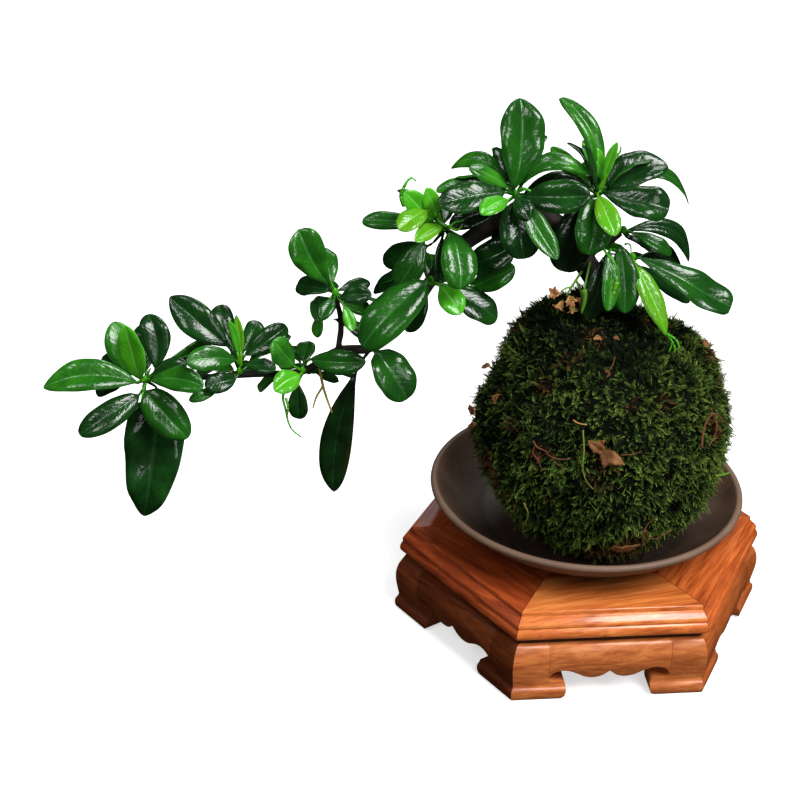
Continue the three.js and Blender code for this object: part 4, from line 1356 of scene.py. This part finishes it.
for node, shoot in SHOOTS.items():
    pile = MeshPile()
    hub = seen(shoot["hub"], shoot["out"])
    for from_px, to_px, wide, near, far, arch, tone, *own in shoot["leaves"]:
        base = seen(from_px, near)
        tip = seen(to_px, shoot["out"] + DEPTH_SPREAD * (far - shoot["out"]))
        shape = own[0] if own else {}
        add_leaf(pile, hub, base, tip, tone, wide=wide, arch=arch, facing=leaf_facing, **shape)
    for tone, thick, path in TENDRILS.get(node, ()):
        add_tendril(pile, [seen(pixel, out) for *pixel, out in path], thick, tone)
    for turn, rise, long in shoot["behind"]:
        level = view_out * -math.cos(math.radians(rise))
        level.rotate(Matrix.Rotation(math.radians(turn), 3, "Z"))
        run = level + UP * math.sin(math.radians(rise))
        tone = dice.choice((DARK, DUSK, MID))
        add_leaf(
            pile, hub, hub + run * AWAY_STALK, hub + run * (long * MM), tone,
            wide=AWAY_WIDTH, arch=AWAY_ARCH, facing=away_facing,
        )
    lean = (view_out * 0.7 + UP).normalized()
    turned = np.array(lean.to_track_quat("Z", "Y").to_matrix())
    bud_width = max(BUD_WIDTH, shoot["thick"] * 0.45) * MM
    bud_at = np.array(hub + lean * BUD_LIFT)
    pile.add(BUD_PLACES @ turned.T * bud_width + bud_at, BUD_FACES, BUD_TONE)
    spray = pile.build(f"leaves_{node}")
    hand_over(spray, node, "leaf", leaf)
    print(node, "triangles", triangles(spray))

# %% [markdown]
# ## Moss ball
# Sheet moss is a mat of feathery shoots a few millimetres long. A dark, lumpy ball is
# the mat seen in its depths, coloured near black as painted shade. The shoots darken
# towards their roots: older growth, and painted shade in the depths. One short shoot
# and one longer frond are modelled, each with two rows of tiny leaves, and thousands of
# copies stand all over the ball, each turned, bent and sized its own way. They are real
# mesh, because hair would be lost in the exported model.

# %% Lumpy ground of the ball
MOSS_FLOOR = 45.7 * MM
MAT_R = MOSS_R - 1.9 * MM
select_only()
bpy.ops.mesh.primitive_ico_sphere_add(subdivisions=6, radius=1)
mat = bpy.context.active_object
mat.name = "moss_mat"


def tuft_at(way):
    """Rolling tufts of the moss, as in the part's own surface."""
    x, y, z = way
    return math.sin(7 * x + 2.1) * math.cos(6 * y - 1.3) + 0.7 * math.sin(9 * z + 5 * x - 4 * y)


MOUNDS = [
    # way from the middle of the ball, rise in mm, how sharply it falls off
    (Vector((-0.33, 0.30, 0.90)).normalized(), 8.0, 5),
    (Vector((0.70, 0.32, 0.64)).normalized(), 2.5, 8),
]


def mat_radius(way):
    rough = noise.noise(way * 9) * 1.3 + noise.noise(way * 24) * 0.8
    mound = sum(rise * max(0.0, 1 - fall * (1 - way.dot(top))) for top, rise, fall in MOUNDS)
    return MAT_R + (1.1 * tuft_at(way) + rough + mound) * MM


for vertex in mat.data.vertices:
    way = vertex.co.normalized()
    vertex.co = BALL_CENTRE + way * mat_radius(way)
    vertex.co.z = max(vertex.co.z, MOSS_FLOOR)


# %% Model a shoot and a frond
def moss_shoot(pairs, leaf_size, stem):
    """Places and faces of a shoot one unit high, and how near its tip each place is."""
    places, faces, height = [], [], []
    for k in range(pairs):
        low = k / pairs * 0.88
        size = leaf_size * (1 - 0.55 * k / pairs)
        for side in (-1, 1):
            start = len(places)
            places += [
                (0, 0.0, low), (side * size * 0.75, 0.10, low + size * 0.25),
                (side * size * 0.85, 0.04, low + size * 0.95),
            ]
            height += [low * 0.8, low + 0.1, low + 0.3]
            faces.append((start, start + 1, start + 2))
    start = len(places)
    places += [(-stem, 0, 0), (stem, 0, 0), (stem / 2, 0.05, 1.05), (-stem / 2, 0.05, 1.05)]
    height += [0, 0, 1, 1]
    faces.append((start, start + 1, start + 2, start + 3))
    return np.array(places), faces, np.clip(np.array(height), 0, 1)


SHORT_SHOOT = moss_shoot(7, 0.30, 0.04)
FROND = moss_shoot(11, 0.17, 0.022)
print("moss shoot faces", len(SHORT_SHOOT[1]), "frond faces", len(FROND[1]))

# %% Where the ball is brown, dark or bright
BROWN_SPOTS = [
    # place in the picture, reach in mm
    ((488, 470), 9), ((604, 460), 6), ((627, 550), 10), ((541, 452), 5), ((716, 428), 6),
    ((632, 404), 4), ((595, 339), 5), ((545, 385), 5), ((710, 352), 6), ((600, 550), 6),
]
MOSS_SEED = Vector((3, 1, 7))
seeded = random.Random(5)


def ball_point(pixel, lift=0.0):
    """Where the sight line of a pixel meets the ball, `lift` mm off its surface."""
    toward = (seen(pixel) - eye).normalized()
    offset = eye - BALL_CENTRE
    radius = MOSS_R + lift * MM
    along = -offset.dot(toward) - math.sqrt(
        max(0.0, offset.dot(toward) ** 2 - offset.length_squared + radius**2)
    )
    place = eye + toward * along - BALL_CENTRE
    return BALL_CENTRE + place.normalized() * min(place.length, radius)


brown_places = [(ball_point(pixel), reach * MM) for pixel, reach in BROWN_SPOTS]


def dryness(root, way):
    """How brown the moss is at a place on the ball, from 0 to 1."""
    spot = max(1 - (root - middle).length / reach for middle, reach in brown_places)
    cloud = noise.noise(way * 5.5 + MOSS_SEED) - 0.42
    return min(1.0, max(0.0, max(spot * 2.2, 3.5 * cloud) + seeded.uniform(-0.3, 0.3)))


def moss_shade_and_tone(way):
    """How bright the moss is: painted shade at the top and on the left, real patches of noise."""
    shade = 0.71 - 2.9 * max(0.0, way.z - 0.72) + 0.30 * way.x
    fine = 1.1 * noise.noise(way * 11) + 0.6 * noise.noise(way * 26)
    return shade + 0.5 * noise.noise(way * 4.2) + fine


# %% Spread shoots over the ball
GOLDEN = math.pi * (3 - math.sqrt(5))
ROOT_SINK = 0.5 * MM
FLOOR_GAP = 0.4 * MM
CLAY_GAP = 0.3 * MM
saucer_radii = [r * MM for r, _ in reversed(SAUCER_INSIDE)]
saucer_heights = [z * MM for _, z in reversed(SAUCER_INSIDE)]


def spread_shoots(name, pattern, number, lengths, stand_up, fall, width):
    """Copies of a shoot all over the ball, as one mesh with tip, tone and dry. None
    dips into the saucer's clay."""
    local, local_faces, height = pattern
    all_places, tips, tones, dryings = [], [], [], []
    for i in range(number):
        z = 1 - 2 * (i + 0.5) / number
        ring = math.sqrt(1 - z * z)
        around = GOLDEN * i + seeded.uniform(-0.5, 0.5)
        way = Vector((
            ring * math.cos(around), ring * math.sin(around), z + seeded.uniform(-0.02, 0.02)
        ))
        way.normalize()
        root = BALL_CENTRE + way * (mat_radius(way) - ROOT_SINK)
        if root.z < MOSS_FLOOR + FLOOR_GAP:
            continue
        loose = Vector((seeded.gauss(0, 1), seeded.gauss(0, 1), seeded.gauss(0, 1) - fall))
        loose -= way * loose.dot(way)
        run = (way * stand_up + loose * 0.55).normalized()
        face = way.cross(run)
        face.rotate(Matrix.Rotation(seeded.uniform(-1.2, 1.2), 3, run))
        face.normalize()
        over = run.cross(face)
        long = seeded.uniform(*lengths) * MM
        wide = long * width * seeded.uniform(0.8, 1.2)
        bend = seeded.uniform(-0.25, 0.45)
        places = (
            np.array(root) + np.outer(local[:, 0] * wide, face)
            + np.outer(local[:, 1] * long + bend * long * local[:, 2] ** 2, over)
            + np.outer(local[:, 2] * long, run)
        )
        from_axis = np.hypot(places[:, 0], places[:, 1])
        clay_top = np.interp(from_axis, saucer_radii, saucer_heights) + CLAY_GAP
        places[:, 2] = np.maximum(places[:, 2], clay_top)
        all_places.append(places)
        tips.append(height)
        shade_and_tone = moss_shade_and_tone(way) + seeded.uniform(-0.28, 0.28)
        specks = np.repeat([seeded.uniform(-0.36, 0.36) for _ in local_faces], 3)
        specks = np.append(specks, specks[-1])
        tones.append(np.clip(shade_and_tone + specks, 0, 1))
        dryings.append(np.full(len(places), dryness(root, way)))
    grown, corners = len(all_places), len(local)
    faces = [tuple(i + k * corners for i in face) for k in range(grown) for face in local_faces]
    piece = mesh_piece(name, all_places, faces, tip=tips, tone=tones, dry=dryings)
    print(name, grown, "shoots,", triangles(piece), "triangles")
    return piece


tufts = spread_shoots(
    "moss_shoots", SHORT_SHOOT, number=10400, lengths=(2.2, 3.9), stand_up=0.55, fall=0.25,
    width=1.15,
)
fronds = spread_shoots(
    "moss_fronds", FROND, number=7800, lengths=(3.0, 6.0), stand_up=0.36, fall=0.5, width=1.35
)
moss_ball = join("moss_ball", [mat, tufts])

# %% Moss material
moss, tree, shader, place = new_material("moss", 0.75)
shader.inputs["Specular IOR Level"].default_value = 0.06
tip = attribute(tree, "tip")
look = use_group(tree, patches, Place=place, Size=120.0)
cloudy = remap(tree, look["Broad"], 0.35, 0.70, 0.0, 0.42)
# The tone carries painted shade: darker at the top and on the left.
shade_tone_and_patches = math_node(tree, "MULTIPLY_ADD", attribute(tree, "tone"), 0.8, cloudy)
# Near black at the mat and the shoots' roots, bright at the tips: painted shade in the moss's
# depths, and older growth below young tips.
growth_and_depth_shade = math_node(tree, "MULTIPLY", tip, shade_tone_and_patches)
moss_green = ramp(tree, growth_and_depth_shade, [
    (0.0, (0.0030, 0.0044, 0.0020)), (0.20, (0.0120, 0.0230, 0.0060)),
    (0.45, (0.0420, 0.0800, 0.0160)), (0.75, (0.1300, 0.2100, 0.0340)),
    (1.0, (0.3000, 0.4000, 0.0700)),
])
dry_brown = ramp(tree, tip, [(0.0, (0.016, 0.007, 0.003)), (1.0, (0.17, 0.070, 0.028))])
moss_colour = mix_colour(tree, attribute(tree, "dry"), moss_green, dry_brown)
tree.links.new(moss_colour, shader.inputs["Base Color"])
bump(tree, shader, look["Fine"], 0.9, 0.5 * MM)
hand_over(moss_ball, "moss_cover", "moss", moss)
hand_over(fronds, None, "moss", moss)

# %% [markdown]
# ## Dry bits
# Two old flower stalks are left on the wood: one forked, one with shrivelled cups. On
# the moss lie dead leaves, thin roots and a few green stems. They are thin tubes like
# the twigs, and blades like the leaves, in straw, peach and brown.

# %% Straw, from green to peach by age
straw, tree, shader, place = new_material("straw", 0.6)
shader.inputs["Specular IOR Level"].default_value = 0.2
look = use_group(tree, patches, Place=place, Size=260.0)
uneven = remap(tree, look["Broad"], 0.3, 0.7, -0.10, 0.10)
aged = math_node(tree, "ADD", attribute(tree, "tone"), uneven)
straw_colour = ramp(tree, aged, [
    (0.05, (0.10, 0.30, 0.02)), (0.20, (0.16, 0.17, 0.03)), (0.36, (0.34, 0.30, 0.06)),
    (0.55, (0.60, 0.27, 0.11)), (0.66, (0.30, 0.145, 0.052)), (0.80, (0.15, 0.056, 0.018)),
    (1.0, (0.07, 0.027, 0.010)),
])
tree.links.new(straw_colour, shader.inputs["Base Color"])
bump(tree, shader, look["Fine"], 0.4, 0.1 * MM)
YOUNG_STALK = 0.06
STEM_GREEN = 0.20
PALE_STALK = 0.36
PEACH = 0.56
PALE_DEAD = 0.66
DEAD_BROWN = 0.78
ROOT_BROWN = 0.84


def thin_stem(path, thick, tone):
    """A thin tube through points in space, with its age as an attribute."""
    piece = limb("thin_stem", [
        (place, thick / 2 * MM * (1 - 0.45 * i / (len(path) - 1))) for i, place in enumerate(path)
    ])
    layer = piece.data.attributes.new("tone", "FLOAT", "POINT")
    layer.data.foreach_set("value", [tone] * len(piece.data.vertices))
    return piece


PETALS = 5


def cup(pile, middle, way, size, tone):
    """A shrivelled cup of curled petals."""
    aside = way.orthogonal().normalized()
    for k in range(PETALS):
        outward = aside.copy()
        turn = k * 2 * math.pi / PETALS + dice.uniform(-0.3, 0.3)
        outward.rotate(Matrix.Rotation(turn, 3, way))
        tip = middle + (way * dice.uniform(0.7, 1.0) + outward * 0.62) * (size * MM)
        petal = bent_blade(
            middle, tip, size * 0.62, 0.25 * size, outward * -1 + way * 0.4,
            wavy=0.2, taper=0.6, blunt=0.6,
        )
        pile.add(petal, BLADE_FACES, tone + dice.uniform(-0.10, 0.12))


# %% Flower stalk and dry cups
stem_paths = {
    "flower_stalk": [
        ([(319, 362, 5), (323, 386, 4), (332, 413, 6)], 1.4, PALE_STALK),
        ([(323, 386, 4), (316, 398, 6), (313, 408, 7)], 1.1, PALE_STALK),
    ],
    "dry_buds": [
        ([(586, 266, 0), (576, 280, 7), (566, 296, 9)], 1.3, YOUNG_STALK),
        ([(576, 280, 7), (582, 296, 9), (580, 310, 10)], 1.1, YOUNG_STALK),
        ([(572, 287, 8), (564, 289, 9), (560, 293, 10)], 0.8, YOUNG_STALK),
        ([(590, 262, 3), (587, 276, 10), (584, 290, 14)], 1.0, YOUNG_STALK),
        ([(584, 290, 14), (585, 296, 14), (582, 313, 14)], 2.4, YOUNG_STALK),
    ],
}
CUPS = [
    # place in the picture, how far out, way it opens, size in mm
    ((560, 294), 10, (-0.7, -0.3, 0.3), 4.2), ((563, 301), 10, (-0.5, -0.4, -0.6), 4.2),
    ((569, 296), 11, (0.1, -0.8, -0.3), 4.0), ((571, 304), 9, (0.3, -0.5, -0.9), 3.6),
    ((576, 299), 9, (0.8, -0.5, -0.2), 3.4),
]
for node, stems in stem_paths.items():
    pieces = [
        thin_stem([seen(pixel, out) for *pixel, out in path], thick, tone)
        for path, thick, tone in stems
    ]
    if node == "dry_buds":
        pile = MeshPile()
        for pixel, out, way, size in CUPS:
            cup(pile, seen(pixel, out), Vector(way).normalized(), size, PEACH)
        pieces.append(pile.build("cups"))
    dry = join(f"dried_{node}", pieces)
    shade_smooth(dry)
    hand_over(dry, node, "dry_stalk", straw)
    print(node, "triangles", triangles(dry))

# %% Litter on the moss
ROOTS = [
    # points in the picture, thickness in mm, age
    ([(533, 441), (537, 447), (545, 451), (550, 456), (558, 459), (570, 459)], 0.8, ROOT_BROWN),
    ([(535, 445), (533, 453), (538, 460), (541, 468)], 0.6, ROOT_BROWN),
    ([(552, 458), (556, 463), (563, 468)], 0.5, ROOT_BROWN),
    ([(702, 448), (703, 434), (708, 419), (715, 414), (723, 420), (733, 430)], 0.9, ROOT_BROWN),
    ([(714, 415), (717, 425), (715, 435), (709, 446)], 0.6, ROOT_BROWN),
    ([(713, 414), (711, 408)], 0.5, ROOT_BROWN),
    ([(641, 560), (645, 547), (643, 534), (648, 524), (657, 517)], 0.9, ROOT_BROWN),
    ([(645, 531), (654, 539), (663, 535), (673, 529)], 0.6, ROOT_BROWN),
    ([(657, 538), (659, 546)], 0.5, ROOT_BROWN),
    ([(583, 430), (584, 450), (583, 470), (587, 482), (593, 489)], 0.6, STEM_GREEN),
    ([(615, 357), (613, 364), (609, 371)], 0.5, ROOT_BROWN),
    ([(605, 371), (609, 373), (607, 377)], 1.2, ROOT_BROWN),
    ([(573, 420), (578, 423), (587, 425)], 0.6, PEACH),
    ([(716, 476), (726, 474), (734, 473)], 1.1, YOUNG_STALK),
    ([(621, 455), (634, 454), (642, 451)], 0.5, ROOT_BROWN),
    ([(524, 503), (528, 514), (523, 526), (525, 540)], 0.7, STEM_GREEN),
]
DEAD_LEAVES = [
    # base and tip in the picture, width in mm, age
    ((604, 453), (588, 441), 4.6, PALE_DEAD + 0.06),
    ((598, 447), (605, 440), 2.6, PALE_DEAD + 0.08),
    ((600, 454), (625, 465), 5.4, DEAD_BROWN + 0.02),
    ((606, 455), (604, 468), 3.6, DEAD_BROWN + 0.10),
    ((610, 549), (640, 546), 4.0, DEAD_BROWN + 0.04),
    ((594, 338), (602, 340), 2.6, PALE_DEAD), ((614, 338), (619, 340), 2.0, DEAD_BROWN),
    ((498, 394), (495, 404), 3.5, DEAD_BROWN), ((490, 366), (482, 368), 2.6, PALE_DEAD),
    ((475, 412), (465, 404), 3.2, DEAD_BROWN), ((476, 424), (468, 429), 2.6, DEAD_BROWN),
    ((704, 345), (715, 339), 3.4, DEAD_BROWN),
]
ROOT_LIFT = 2.4
LIFT_SPREAD = 1.6
LEAF_LIFT = 2.6
LEAF_TIP_LIFT = 3.8
pieces = [
    thin_stem(
        [ball_point(pixel, ROOT_LIFT + dice.uniform(0, LIFT_SPREAD)) for pixel in path],
        thick, tone,
    )
    for path, thick, tone in ROOTS
]
pile = MeshPile()
for from_px, to_px, wide, tone in DEAD_LEAVES:
    base, tip = ball_point(from_px, LEAF_LIFT), ball_point(to_px, LEAF_TIP_LIFT)
    facing = (base - BALL_CENTRE).normalized()
    places = bent_blade(base, tip, wide, 0.6, facing, wavy=0.22, taper=0.55, blunt=0.95)
    pile.add(places, BLADE_FACES, tone)
pieces.append(pile.build("dead_leaves"))
litter = join("moss_litter", pieces)
shade_smooth(litter)
hand_over(litter, None, "dry_stalk", straw)
print("litter triangles", triangles(litter))

# %% [markdown]
# ## Soil
# The soil core is hidden by the moss and stays as the CAD has it, with dark crumbs.

# %% Soil material
soil, tree, shader, place = new_material("soil", 0.95)
look = use_group(tree, patches, Place=place, Size=120.0)
crumbs = ramp(tree, look["Fine"], [(0.3, (0.008, 0.005, 0.003)), (0.7, (0.05, 0.03, 0.018))])
tree.links.new(crumbs, shader.inputs["Base Color"])
bump(tree, shader, look["Fine"], 0.8, 0.6 * MM)
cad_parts["soil_core"].material_slots[0].material = soil
